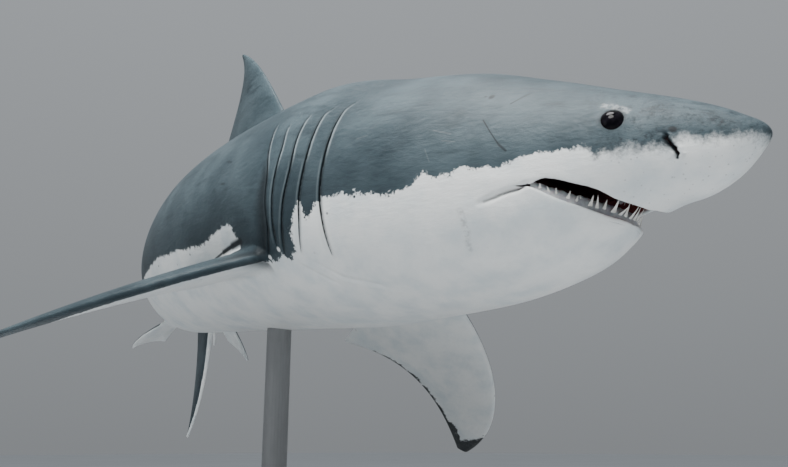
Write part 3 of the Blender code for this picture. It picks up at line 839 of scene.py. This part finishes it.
def fin_edges(fin, reach):
    """The leading and trailing edges' places back at a reach out."""
    found = []
    for edge in (fin[0], fin[2]):
        back, out = bezier(edge, np.linspace(0, 1, 200)).T
        order = np.argsort(out)
        found.append(np.interp(reach, out[order], back[order]))
    return found


def paint_paired_fins(places, out, dark):
    """The dark back's measure with the paired fins in it, their black tips, and where they are."""
    ink, on_fin = 0 * dark - 3.0, 0 * dark
    for outline, *pose, wrap in PAIRED_FINS:
        back, reach, across = own_measures(*places, pose)
        mine = (places[1] * pose[0] > 0) & (np.abs(across) < 1.6)
        mine = mine & (reach > -1) & (back > -2) & (back < 15)
        weight = np.where(mine, smooth_step(out, 0.05, 0.8), 0)
        on_fin = np.maximum(on_fin, weight)
        # The upper face's dark reaches round the leading edge by wrap; on the right pectoral that is
        # painted shade on its underside.
        dark = dark * (1 - weight) + weight * np.clip((across + wrap) * 9, -2, 2)
        if outline is PECTORAL:
            edge = fin_edges(PECTORAL, reach)[1] - back
            margin = 0.22 + 0.6 * smooth_step(reach, 11.4, 12.4)
            tip = 1.4 * np.maximum(reach - 14.2, margin - edge)
            tip = np.where((reach > 2.5) & (across < 0.25), tip, -3)
            ink = np.where(weight > 0.5, np.maximum(ink, np.clip(tip, -3, 2)), ink)
    return dark, ink, on_fin


def paint_upright_fins(places, out, dark):
    """They are dark on both sides, the anal fin pale, and the lower lobe's front edge too, partly as a
    painted highlight along that lit edge.
    """
    station, side, height = places
    upright_fin = (out > 0.2) & (station > 34) & (np.abs(side) < 1.2)
    anal = (station > 74) & (station < 81) & (height < 0)
    dark = np.where(upright_fin & ~anal, np.maximum(dark, 1.5), dark)
    # The lower lobe's front edge is pale: partly its own pale underside, partly a painted highlight.
    lobe = (station > 83.4) & (height < -1.25)
    from_edge = station - fin_edges(LOWER_LOBE, height)[0]
    return np.where(lobe, np.where(from_edge < 0.32, -1.0, np.maximum(dark, 1.0)), dark)


def paint_gills(places, out):
    """How deep in a slit a place is, for the painted shade inside it, and the painted highlight on the
    flap's edge and the painted shade beside it.
    """
    station, side, height = places
    gill, gill_highlight, shade = 0 * station, 0 * station, 0 * station
    high = smooth_step(height, 0.4, 2.0)
    for index in range(len(GILL_SLITS)):
        behind, near = beside_gill(index, station, side, height)
        gill = np.maximum(gill, near * bump(behind, 0.0, 0.5))
        # Painted highlight: a thin pale line on each flap's edge just before the slit above, and a fainter
        # one behind it below.
        top, low = bump(behind, -0.1, 0.06), 0.35 * bump(behind, 0.3, 0.05)
        gill_highlight = np.maximum(gill_highlight, near * (high * top + (1 - high) * low))
        # Painted shade beside each slit: just behind it above, at its front edge below.
        top, low = bump(behind, 0.16, 0.12), bump(behind, -0.04, 0.1)
        shade = np.maximum(shade, near * (high * top + (1 - high) * low))
    # Painted shade, darkest in the hollow behind the last slit, before the fin.
    hollow_end = 1.7 * (1 - 0.5 * smooth_step(height, -1.0, 1.5))
    band = window(behind, 0.05, 0.25, 0.4, hollow_end) * window(height, -5.2, -4.4, 0.5, 2.2)
    shade = np.maximum(shade, 1.1 * band * (np.abs(side) > 3))
    # How far below the skin a place in a slit lies: the slit's inside gets painted shade.
    inside = skin_relief(station, side, height) - out
    return np.where((station > 15) & (gill > 0.1), inside, 0), gill_highlight, shade


def paint_fields(skin):
    """Leaves each point's place, and how dark, black or deep inside it is, on the skin."""
    places = station, side, height = places_of(points_of(skin))
    out = outside(*places)
    dark, ink, on_fin = paint_paired_fins(places, out, from_line(COLOUR_LINE, station, height))
    gill, gill_highlight, shade = paint_gills(places, out)
    from_eye = np.hypot(station - EYE_PLACE[0], height - EYE_PLACE[2])
    fields = {
        "place": np.stack(places, -1),
        "dark": paint_upright_fins(places, out, dark),
        "ink": ink,
        "hollow": smooth_step(-out, 0.16, 0.36) * (station < 15),
        # How far inside the mouth a place is, for its painted shade.
        "deep": smooth_step(-out, 0.6, 2.4),
        # Depth in a gill slit, for the painted shade there.
        "gill": gill,
        "gill_highlight": gill_highlight,
        "shade": np.maximum(shade, bump(from_eye, 0.46, 0.14) * (np.abs(side) > 1)),
        "fin": on_fin,
    }
    for name, values in fields.items():
        add_field(skin, name, values)


def fit_in_box(skin, low, high):
    """Draws the outermost points in, so that the skin stays inside the solids' box."""
    points = points_of(skin)
    for axis in range(3):
        for sign, limit in ((1, high[axis]), (-1, -low[axis])):
            along_axis = points[:, axis] * sign
            start, reach = limit - BOX_ZONE, along_axis.max()
            if reach > limit - BOX_MARGIN:
                share = (BOX_ZONE - BOX_MARGIN) / (reach - start)
                along_axis = np.where(along_axis > start, start + (along_axis - start) * share, along_axis)
                points[:, axis] = along_axis * sign
    set_points(skin, points)


# ---------------------------------------------------------------- gums and teeth
GUM_TOP, GUM_ROOT = 0.6, 0.7
# The gum's section: (how far in from the lip, how high of its full height; below 0, how deep).
GUM_SECTION = (
    (0.1, -1), (0.13, 0), (0.17, 0.5), (0.22, 0.84), (0.3, 1), (0.42, 0.97), (0.52, 0.7),
    (0.6, 0.2), (0.66, -0.4), (0.7, -1), (0.4, -1),
)
LOWER_TEETH, UPPER_TEETH = 25, 22


def gum_height(share):
    """How high the lower gum stands above the lip, by its share of the way round."""
    return GUM_TOP * (0.25 + 0.75 * np.sin(np.clip(share, 0, 1) * np.pi) ** 0.6)


def lower_gum():
    """The band of gum behind the lower lip, uneven where teeth grow."""
    path, inward = along(LOWER_PATH, 360, 0.03, 0.97)
    share = np.linspace(0.03, 0.97, 360)
    top = gum_height(share) + 0.025 * np.cos(share * LOWER_TEETH * 2 * np.pi)
    top += 0.02 * np.sin(share * 61)
    rings = []
    for inset, rise in GUM_SECTION:
        spot = (path + inward * inset).T
        size = top if rise >= 0 else GUM_ROOT * jaw_depth(*spot)
        rings.append(place(*spot, lower_lip_height(*spot) + rise * size))
    return loft("gum_lower", np.stack(rings, 1))


def tooth(base, tip, wide, thick):
    """One flattened, slightly curved tooth from its root's middle to its tip."""
    rows = []
    middle = (base + tip) / 2 + thick * 0.7
    for t in np.linspace(0, 0.97, 10):
        spot = base * (1 - t) ** 2 + 2 * middle * t * (1 - t) + tip * t * t
        size = (1 - t) ** 0.9 * (1 - 0.25 * math.sin(t * math.pi))
        turn = np.linspace(0, 2 * np.pi, 14, endpoint=False)[:, None]
        rows.append(spot + (wide * np.cos(turn) + thick * np.sin(turn)) * size)
    return loft("tooth", np.array(rows))


def make_lower_teeth():
    """Slender, uneven teeth that stand out of the gum, leaning outwards at the front."""
    rng = np.random.default_rng(7)
    shares = np.linspace(0.06, 0.94, LOWER_TEETH) + rng.uniform(-0.009, 0.009, LOWER_TEETH)
    path, inward = along(LOWER_PATH, 1001)
    teeth = []
    for share in shares:
        spot, inner = path[round(share * 1000)], inward[round(share * 1000)]
        front = math.sin(share * math.pi) ** 2
        root = smooth_curve(LOWER_LIP, spot[0]) + 0.4 * gum_height(share)
        run = np.array([inner[1], -inner[0]])
        out = 0.04 + 0.45 * front**2 + rng.uniform(-0.12, 0.16)
        size = (0.16 + 0.34 * front) * rng.uniform(0.55, 1.25)
        start = spot + inner * (0.21 + rng.uniform(-0.03, 0.06))
        end = start + run * rng.uniform(-0.2, 0.2) - inner * out
        base, tip = place(*start, root), place(*end, root + 0.15 + size)
        wide = place(*(start + run * (0.09 + 0.09 * front) * rng.uniform(0.9, 1.3)), root) - base
        thick = place(*(start - inner * 0.06), root) - base
        teeth.append(tooth(base, tip, wide, thick))
    return joined("teeth_lower", teeth)


def roof_height(station, side):
    """The palate's height inside the mouth."""
    upper = np.clip(behind_lip(station, side, upper_lip_height, UPPER_PATH), 0, None)
    return upper_lip_height(station, side) + PALATE_RISE * (1 - bump(upper, 0, PALATE_SLOPE))


def upper_gum():
    """The gum of the upper jaw, up behind its lip."""
    path, inward = along(UPPER_PATH, 260, 0.05, 0.95)
    spot = path + inward * 0.85
    roof = roof_height(*spot.T)
    rings = []
    for turn in np.linspace(0, 2 * np.pi, 14, endpoint=False):
        around = spot + inward * 0.3 * np.cos(turn)
        rings.append(place(*around.T, roof + 0.1 + 0.32 * np.sin(turn)))
    return loft("gum_upper", np.stack(rings, 1))


def make_upper_teeth():
    """Broad teeth that hang from the upper gum, tucked up behind the lip."""
    rng = np.random.default_rng(11)
    path, inward = along(UPPER_PATH, UPPER_TEETH, 0.09, 0.91)
    teeth = []
    for i, (spot, inner) in enumerate(zip(path, inward)):
        front = math.sin(i / (UPPER_TEETH - 1) * math.pi)
        start = spot + inner * 0.8
        root = float(roof_height(start[0], start[1]))
        run = np.array([inner[1], -inner[0]])
        size = (0.35 + 0.4 * front) * rng.uniform(0.9, 1.08)
        end = start + inner * 0.25 + run * rng.uniform(-0.06, 0.06)
        base = place(*start, root - 0.05)
        tip = place(*end, root - 0.2 - size)
        wide = place(*(start + run * (0.14 + 0.12 * front)), root) - place(*start, root)
        thick = place(*(start + inner * 0.06), root) - place(*start, root)
        teeth.append(tooth(base, tip, wide, thick))
    return joined("teeth_upper", teeth)


# ---------------------------------------------------------------- materials
def is_socket(value):
    return isinstance(value, bpy.types.NodeSocket)


class Nodes:
    """Short calls for building the nodes of a material or a world."""

    def __init__(self, owner):
        owner.use_nodes = True
        self.owner, self.tree = owner, owner.node_tree

    def plug(self, node, inputs):
        for key, value in inputs.items():
            if is_socket(value):
                self.tree.links.new(value, node.inputs[key])
            else:
                node.inputs[key].default_value = value
        return node

    def add(self, kind, inputs, **settings):
        node = self.tree.nodes.new(kind)
        for key, value in settings.items():
            setattr(node, key, value)
        return self.plug(node, inputs)

    def attribute(self, name, output="Fac"):
        return self.add("ShaderNodeAttribute", {}, attribute_name=name).outputs[output]

    def place(self, output="Object"):
        return self.add("ShaderNodeTexCoord", {}).outputs[output]

    def scaled(self, where, factors):
        return self.vector("MULTIPLY", where, factors)

    def split(self, vector):
        return self.add("ShaderNodeSeparateXYZ", {0: vector}).outputs

    def math(self, operation, a, b=0.0, c=0.0):
        return self.add("ShaderNodeMath", {0: a, 1: b, 2: c}, operation=operation).outputs[0]

    def times(self, a, b):
        return self.math("MULTIPLY", a, b)

    def most(self, first, *others):
        """The greatest of some values."""
        for other in others:
            first = self.math("MAXIMUM", first, other)
        return first

    def vector(self, operation, a, b=(0, 0, 0), output="Vector"):
        node = self.add("ShaderNodeVectorMath", {0: a, 1: b}, operation=operation)
        return node.outputs[output]

    def step(self, value, start, end):
        """0 before start, 1 after end, smooth between."""
        inputs = {"Value": value, "From Min": start, "From Max": end}
        return self.add("ShaderNodeMapRange", inputs, interpolation_type="SMOOTHSTEP").outputs[0]

    def fall(self, value, start, end):
        """1 before start, 0 after end, smooth between."""
        return self.math("SUBTRACT", 1.0, self.step(value, start, end))

    def noise(self, where, scale, detail, rough):
        inputs = {"Vector": where, "Scale": scale, "Detail": detail, "Roughness": rough}
        return self.add("ShaderNodeTexNoise", inputs).outputs[0]

    def waver(self, where, noise, size, start):
        """Noise times a size, from a start."""
        return self.math("MULTIPLY_ADD", self.noise(where, *noise), size, start)

    def mix(self, share, a, b):
        a, b = (value if is_socket(value) else (*value, 1) for value in (a, b))
        return self.add("ShaderNodeMix", {0: share, 6: a, 7: b}, data_type="RGBA").outputs[2]

    def clouds(self, where, noise, span, colours):
        """Two colours in clouds: the noise, where in it one turns into the other, and both."""
        return self.mix(self.step(self.noise(where, *noise), *span), *colours)

    def bump(self, where, noise, distance, normal=None):
        inputs = {"Height": self.noise(where, *noise), "Distance": distance, "Strength": 1.0}
        if normal:
            inputs["Normal"] = normal
        return self.add("ShaderNodeBump", inputs).outputs[0]

    def finish(self, **sockets):
        inputs = {key.replace("_", " "): value for key, value in sockets.items()}
        self.plug(self.tree.nodes["Principled BSDF"], inputs)
        return self.owner


BACK, BACK_LIGHT, BACK_DEEP = (0.032, 0.050, 0.060), (0.066, 0.094, 0.108), (0.012, 0.020, 0.026)
BELLY, BELLY_SHADE = (0.80, 0.82, 0.81), (0.62, 0.68, 0.70)
FLESH_COLOUR, FLESH_SHADED = (0.13, 0.035, 0.032), (0.04, 0.010, 0.010)
# The black serves the real black marks and the painted shade; the last colour is a painted highlight on
# the gill flaps.
INK_AND_SHADE, GRIME, GILL_HIGHLIGHT = (0.012, 0.016, 0.019), (0.45, 0.50, 0.52), (0.42, 0.48, 0.50)

# The plain finishes: two colours in clouds, the clouds' noise (scale, detail, rough) and where in it
# one turns into the other, the roughness (a value, or a noise, its size and its start), the grain (a
# noise and its depth) and how the clouds and the grain are scaled along the height.
FINISHES = {
    "shark_eye": dict(
        colours=((0.002, 0.002, 0.003), (0.007, 0.006, 0.009)), clouds=(90.0, 3, 0.6),
        turn=(0.4, 0.7), rough=0.04, Specular_IOR_Level=0.06,
    ),
    "gum": dict(
        colours=((0.30, 0.31, 0.33), (0.44, 0.46, 0.47)), clouds=(55.0, 4, 0.6), turn=(0.35, 0.7),
        rough=0.3, grain=((160.0, 3, 0.5), 0.001), Subsurface_Weight=0.15, Subsurface_Scale=0.01,
    ),
    "tooth": dict(
        colours=((0.74, 0.74, 0.70), (0.56, 0.55, 0.49)), clouds=(120.0, 3, 0.6), turn=(0.4, 0.75),
        rough=0.22, grain=((500.0, 2, 0.5), 0.0004), scales=(0.35, 0.2),
    ),
    "stand_base_paint": dict(
        colours=((0.055, 0.058, 0.062), (0.085, 0.088, 0.092)), clouds=(3.5, 5, 0.6),
        turn=(0.35, 0.7), rough=((14.0, 4, 0.6), 0.2, 0.36), grain=((260.0, 2, 0.5), 0.0006),
    ),
    "stand_rod_paint": dict(
        colours=((0.20, 0.205, 0.21), (0.26, 0.265, 0.27)), clouds=(9.0, 4, 0.6), turn=(0.3, 0.7),
        rough=((40.0, 4, 0.6), 0.2, 0.42), grain=((300.0, 2, 0.5), 0.0004), scales=(0.2, 1),
        Metallic=0.35,
    ),
    "floor": dict(
        colours=((0.50, 0.52, 0.54), (0.53, 0.55, 0.57)), clouds=(0.6, 3, 0.5), turn=(0.3, 0.7),
        rough=0.8,
    ),
}

# Marks, by (station, height). Scratches: start, end, half width and how dark; right side only.
SCRATCHES_AND_FOLD_SHADE = (
    ((12.3, 1.85), (11.3, 0.3), 0.035, 0.8),
    ((11.3, 0.3), (10.95, -0.05), 0.06, 0.75),
    ((11.15, 2.75), (10.4, 3.4), 0.045, 0.7),
    ((10.9, 3.0), (10.5, 3.45), 0.03, 0.6),
    ((11.1, 3.95), (8.8, 3.43), 0.03, 0.5),
    ((13.2, 4.2), (11.6, 3.85), 0.025, 0.5),
    # Painted shade of the fold below the jaw's corner.
    ((13.55, -2.9), (13.55, -3.8), 0.17, 0.3),
    ((13.55, -3.8), (13.8, -4.6), 0.13, 0.25),
    ((33.5, 3.3), (32.6, 3.05), 0.06, 0.7),
    ((33.2, 1.5), (32.5, 1.35), 0.07, 0.7),
)
PALE_SCRATCHES_AND_HIGHLIGHT = (
    # Painted highlight on the brow above the eye; the later ones are pale scars.
    ((6.6, 2.0), (6.05, 1.8), 0.16, 0.28),
    ((6.05, 1.8), (5.5, 1.5), 0.16, 0.28),
    ((15.2, 0.55), (14.9, -0.2), 0.03, 0.04),
    ((14.9, 1.6), (13.9, 1.25), 0.05, 0.04),
    ((19.6, 1.9), (18.9, 2.0), 0.035, 0.05),
    ((14.3, 0.9), (13.6, 0.75), 0.04, 0.04),
    ((42.0, 1.2), (38.5, 2.3), 0.04, 0.04),
    ((50.0, 0.9), (47.5, 1.6), 0.04, 0.04),
)
# Marks that both sides share: painted shade along the fold behind the mouth's corner, and the black streak
# in the fin's armpit.
CREASE_SHADE_AND_MARKS = (
    # Painted shade in the fold behind the mouth's corner.
    ((10.1, -1.82), (10.6, -2.02), 0.06, 0.8),
    ((10.6, -2.02), (11.3, -2.16), 0.07, 0.6),
    ((11.3, -2.16), (12.3, -2.48), 0.08, 0.35),
    # The black streak in the armpit of the fin.
    ((30.0, -2.95), (31.4, -3.1), 0.22, 1.0),
    ((31.4, -3.1), (33.0, -3.3), 0.15, 1.0),
    ((33.0, -3.3), (34.6, -3.54), 0.08, 0.9),
)
# Round marks: middle, radius and how dark (below 0, how pale).
SPOTS = (
    ((12.36, 3.42), 0.16, 0.95),
    ((12.7, 3.5), 0.08, 0.7),
    ((3.53, 0.21), 0.17, 0.95),
    ((27.15, -4.2), 0.15, -1.0),
    ((25.95, -3.85), 0.15, -0.9),
    # Painted shade round the eye's socket.
    ((6.07, 1.1), 0.5, 0.8),
    # A painted highlight ahead of the nostril.
    ((3.1, -0.62), 0.5, -0.75),
    ((4.3, 1.45), 0.5, 0.6),
    ((3.8, 0.9), 0.35, 0.5),
    ((7.2, 2.5), 0.55, 0.45),
    ((2.2, 0.85), 0.45, 0.5),
    ((1.4, 0.2), 0.4, 0.5),
    ((6.1, 0.0), 0.6, 0.3),
)
EYE_SHADE_SPOT = (6.07, 1.1)


def near_line(n, flat, start, end, width):
    """1 on the line between two places, falling to 0 at its width."""
    start, end = Vector((start[0], 0, start[1])), Vector((end[0], 0, end[1]))
    run = end - start
    away = n.vector("SUBTRACT", flat, start)
    share = n.vector("DOT_PRODUCT", away, run / run.length_squared, "Value")
    share = n.add("ShaderNodeClamp", {0: share}).outputs[0]
    back = n.add("ShaderNodeVectorMath", {0: run, 3: share}, operation="SCALE").outputs[0]
    far = n.vector("LENGTH", n.vector("SUBTRACT", away, back), output="Value")
    return n.fall(far, width * 0.4, width * 1.6)


def line_marks(n, flat, marks, ragged):
    """The strongest of some line marks. Faint wide ones are broken up."""
    shares = []
    for start, end, width, strength in marks:
        mark = n.times(near_line(n, flat, start, end, width), strength)
        broken = width > 0.09 and strength < 0.6
        shares.append(n.times(mark, ragged) if broken else mark)
    return n.most(*shares)


def spot_marks(n, flat, sign, ragged):
    """The dark spots with sign 1, the pale ones with -1. Big ones are broken up."""
    marks = []
    for (station, height), radius, strength in SPOTS:
        if strength * sign > 0:
            away = n.vector("DISTANCE", flat, (station, 0, height), "Value")
            mark = n.times(n.fall(away, radius * 0.5, radius * 1.3), strength * sign)
            clean = radius < 0.2 or (station, height) == EYE_SHADE_SPOT
            marks.append(mark if clean else n.times(mark, ragged))
    return n.most(*marks)


def speckles(n, where, scale, radius, rarity):
    """Small round dots, scattered: 1 in a dot, 0 elsewhere."""
    cells = n.add("ShaderNodeTexVoronoi", {"Vector": where, "Scale": scale, "Randomness": 1.0})
    dot = n.fall(cells.outputs["Distance"], radius * 0.6, radius)
    pick = n.split(cells.outputs["Color"])[0]
    return n.times(dot, n.step(pick, rarity, rarity + 0.05))


def back_share(n, where, station):
    """1 where the skin is the back's colour, 0 where it is the belly's."""
    dark, fin = n.attribute("dark"), n.attribute("fin")
    ragged = n.waver(where, (1.5, 5, 0.66), 1.0, -0.5)
    fine = n.waver(where, (7.5, 4, 0.65), 0.62, -0.31)
    edge = n.math("ADD", n.math("ADD", dark, ragged), fine)
    crisp = n.most(n.step(station, 5.5, 8.5), fin)
    soft = n.math("MULTIPLY_ADD", crisp, -0.34, 0.40)
    share = n.step(edge, n.times(soft, -1.0), soft)
    # Dark dots on the pale side of the edge, thinning out downwards.
    below = n.times(n.step(dark, -1.7, -0.3), n.step(station, 13.0, 16.0))
    return n.most(share, n.times(speckles(n, where, 1.6, 0.17, 0.78), below))


def back_colour(n, where, station):
    """The slate of the back, clouded and streaked, mottled on the snout, with painted shade low on the
    flank.
    """
    streaks = n.noise(n.scaled(where, (0.3, 1.0, 1.5)), 0.9, 5, 0.6)
    mottle = n.noise(where, 2.6, 5, 0.7)
    back = n.clouds(where, (0.26, 4, 0.55), (0.34, 0.68), (BACK, BACK_LIGHT))
    back = n.mix(n.times(n.step(streaks, 0.5, 0.78), 0.6), back, BACK_DEEP)
    snout = n.fall(station, 5.0, 8.5)
    for start, end, strength, colour in ((0.48, 0.68, 0.75, BACK_DEEP), (0.5, 0.3, 0.45, BACK_LIGHT)):
        back = n.mix(n.times(n.step(mottle, start, end), n.times(snout, strength)), back, colour)
    # Painted shade: darker low on the flank, just above the colour line, from behind the mouth back.
    flank_shade = n.times(n.fall(n.attribute("dark"), 0.2, 5.0), n.step(station, 12.0, 20.0))
    return n.mix(n.times(flank_shade, 0.45), back, BACK_DEEP)


def mark_colour(n, colour, where):
    """The colour with the scars, spots and nostrils on it, painted shade in the creases and round the eye,
    and painted highlights on the brow and snout.
    """
    station, side, height = n.split(where)
    flat = n.add("ShaderNodeCombineXYZ", {0: station, 1: 0.0, 2: height}).outputs[0]
    right = n.step(n.times(side, -1.0), 0.0, 1.0)
    ragged = n.step(n.noise(where, 5.0, 5, 0.7), 0.38, 0.62)
    # Pale scars and spots, with painted highlights on the brow and ahead of the nostril.
    pale = n.times(line_marks(n, flat, PALE_SCRATCHES_AND_HIGHLIGHT, ragged), right)
    colour = n.mix(n.most(pale, spot_marks(n, flat, -1, ragged)), colour, BELLY)
    nostril = zip(NOSTRIL, NOSTRIL[1:], NOSTRIL_WIDTHS)
    marks = [
        n.times(line_marks(n, flat, SCRATCHES_AND_FOLD_SHADE, ragged), right),
        spot_marks(n, flat, 1, ragged),
        line_marks(n, flat, CREASE_SHADE_AND_MARKS, ragged),
        *[near_line(n, flat, start, end, width) for start, end, width in nostril],
    ]
    return n.mix(n.most(*marks), colour, INK_AND_SHADE)


def skin_material():
    n = Nodes(bpy.data.materials.new("shark_skin"))
    where = n.attribute("place", "Vector")
    station = n.split(where)[0]
    belly = n.clouds(where, (0.45, 4, 0.55), (0.36, 0.76), (BELLY, BELLY_SHADE))
    grime = n.times(n.step(n.noise(where, 3.0, 5, 0.7), 0.55, 0.8), 0.22)
    belly = n.mix(grime, belly, GRIME)
    colour = n.mix(back_share(n, where, station), belly, back_colour(n, where, station))
    pores = n.times(speckles(n, where, 3.6, 0.2, 0.35), n.fall(station, 5.5, 7.5))
    colour = n.mix(n.times(pores, 0.3), colour, BACK_DEEP)
    # Painted highlight along the gill flaps' edges.
    colour = n.mix(n.times(n.attribute("gill_highlight"), 0.4), colour, GILL_HIGHLIGHT)
    colour = mark_colour(n, colour, where)
    ink = n.math("ADD", n.attribute("ink"), n.waver(where, (1.5, 6, 0.72), 2.4, -1.2))
    colour = n.mix(n.step(ink, -0.12, 0.1), colour, INK_AND_SHADE)
    # Painted shade: the mouth's flesh is darker the deeper inside it lies.
    flesh = n.mix(n.attribute("deep"), FLESH_COLOUR, FLESH_SHADED)
    colour = n.mix(n.attribute("hollow"), colour, flesh)
    colour = n.mix(n.times(n.attribute("shade"), 0.75), colour, INK_AND_SHADE)
    # Painted shade: the insides of the gill slits are painted black.
    colour = n.mix(n.step(n.attribute("gill"), 0.015, 0.04), colour, INK_AND_SHADE)
    normal = n.bump(where, (46.0, 3, 0.6), 0.0008)
    normal = n.bump(n.scaled(where, (1.0, 1.0, 2.0)), (1.7, 5, 0.6), 0.002, normal)
    rough = n.waver(where, (6.0, 4, 0.6), 0.2, 0.26)
    return n.finish(Base_Color=colour, Roughness=rough, Normal=normal, Specular_IOR_Level=0.16)


def plain_material(name, colours, clouds, turn, rough, grain=(), scales=(1, 1), **others):
    n = Nodes(bpy.data.materials.new(name))
    where = n.place()
    drawn, fine = (n.scaled(where, (1, 1, scale)) for scale in scales)
    if grain:
        others["Normal"] = n.bump(fine, *grain)
    if isinstance(rough, tuple):
        rough = n.waver(where, *rough)
    return n.finish(Base_Color=n.clouds(drawn, clouds, turn, colours), Roughness=rough, **others)


# ---------------------------------------------------------------- stage, light and camera
FLOOR_REACH = 40.0
# Lights: name, place, what it faces, size, power and colour.
LIGHTS = (
    ("key", (1.9, -2.4, 4.2), (0.9, 0, 1), 2.0, 300, (1.0, 0.99, 0.97)),
    ("top", (0.9, -0.5, 4.7), (0.6, 0, 1), 2.0, 210, (1.0, 1.0, 1.0)),
    ("side", (-1.5, -5.5, 2.6), (-0.4, 0, 1), 3.0, 40, (0.95, 0.98, 1.0)),
)
# The camera's place from the snout tip, in percent, and how it turns.
CAMERA_AWAY, CAMERA_YAW, CAMERA_PITCH = (10.54, -36.36, -14.10), -0.764, 0.267
CAMERA_LENS, CAMERA_SENSOR, CAMERA_REACH = 35.6, 36, 200


def make_floor(finish):
    corners = [(x * FLOOR_REACH, y * FLOOR_REACH, 0) for x, y in ((-1, -1), (1, -1), (1, 1), (-1, 1))]
    floor = new_object("floor", corners, [(0, 1, 2, 3)])
    floor.data.materials.append(finish)


def look_along(obj, where, direction):
    """Puts a light or camera in its place, facing along a direction, and in the scene."""
    obj.location = where
    obj.rotation_mode = "QUATERNION"
    obj.rotation_quaternion = Vector(direction).to_track_quat("-Z", "Y")
    bpy.context.scene.collection.objects.link(obj)


def make_lights():
    for name, where, target, size, power, colour in LIGHTS:
        light = bpy.data.lights.new(name, "AREA")
        light.shape = "DISK"
        light.size, light.energy, light.color = size, power, colour
        look_along(bpy.data.objects.new(name, light), where, Vector(target) - Vector(where))


def make_world():
    """A plain pale surround, a little brighter above."""
    world = bpy.data.worlds.new("studio")
    n = Nodes(world)
    height = n.split(n.place("Generated"))[2]
    inputs = {"Value": height, "From Min": 0.0, "From Max": 0.9, "To Min": 0.26, "To Max": 0.52}
    strength = n.add("ShaderNodeMapRange", inputs).outputs[0]
    n.plug(n.tree.nodes["Background"], {"Color": (0.90, 0.95, 1.0, 1), "Strength": strength})
    bpy.context.scene.world = world


def make_camera():
    """The viewing angle: from the right and ahead, a little below, looking up."""
    data = bpy.data.cameras.new("camera")
    data.sensor_width, data.lens, data.clip_end = CAMERA_SENSOR, CAMERA_LENS, CAMERA_REACH
    camera = bpy.data.objects.new("camera", data)
    flat = math.cos(CAMERA_PITCH)
    look = (math.sin(CAMERA_YAW) * flat, math.cos(CAMERA_YAW) * flat, math.sin(CAMERA_PITCH))
    look_along(camera, SNOUT_TIP + np.array(CAMERA_AWAY) * PERCENT, look)
    bpy.context.scene.camera = camera


def give_material(obj, material):
    obj.data.materials.clear()
    obj.data.materials.append(material)


def dress(obj, material, slot, *nodes):
    """Gives a piece its finish and its place in the frame."""
    give_material(obj, material)
    obj.data.shade_smooth()
    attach(obj, "root")
    if nodes:
        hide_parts(*nodes)


def main():
    skin = make_skin()
    paint_fields(skin)
    fit_in_box(skin, *cad_box)
    dress(skin, skin_material(), "skin", *FLESH)
    skin.data.set_sharp_from_angle(angle=math.radians(50))
    eye, gum, enamel, base, paint, ground = (
        plain_material(name, **finish) for name, finish in FINISHES.items()
    )
    for name, side in (("eye_left", 1), ("eye_right", -1)):
        dress(make_ball("eyeball_" + name[4:], side, EYE_RADIUS * PERCENT), eye, "eye", name)
    dress(lower_gum(), gum, "belly")
    dress(upper_gum(), gum, "skin")
    dress(make_lower_teeth(), enamel, "belly")
    dress(make_upper_teeth(), enamel, "skin")
    for name, material in (("stand_base", base), ("stand_rod", paint), ("stand_flange", paint)):
        give_material(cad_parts[name], material)
    make_floor(ground)
    make_lights()
    make_world()
    make_camera()


main()
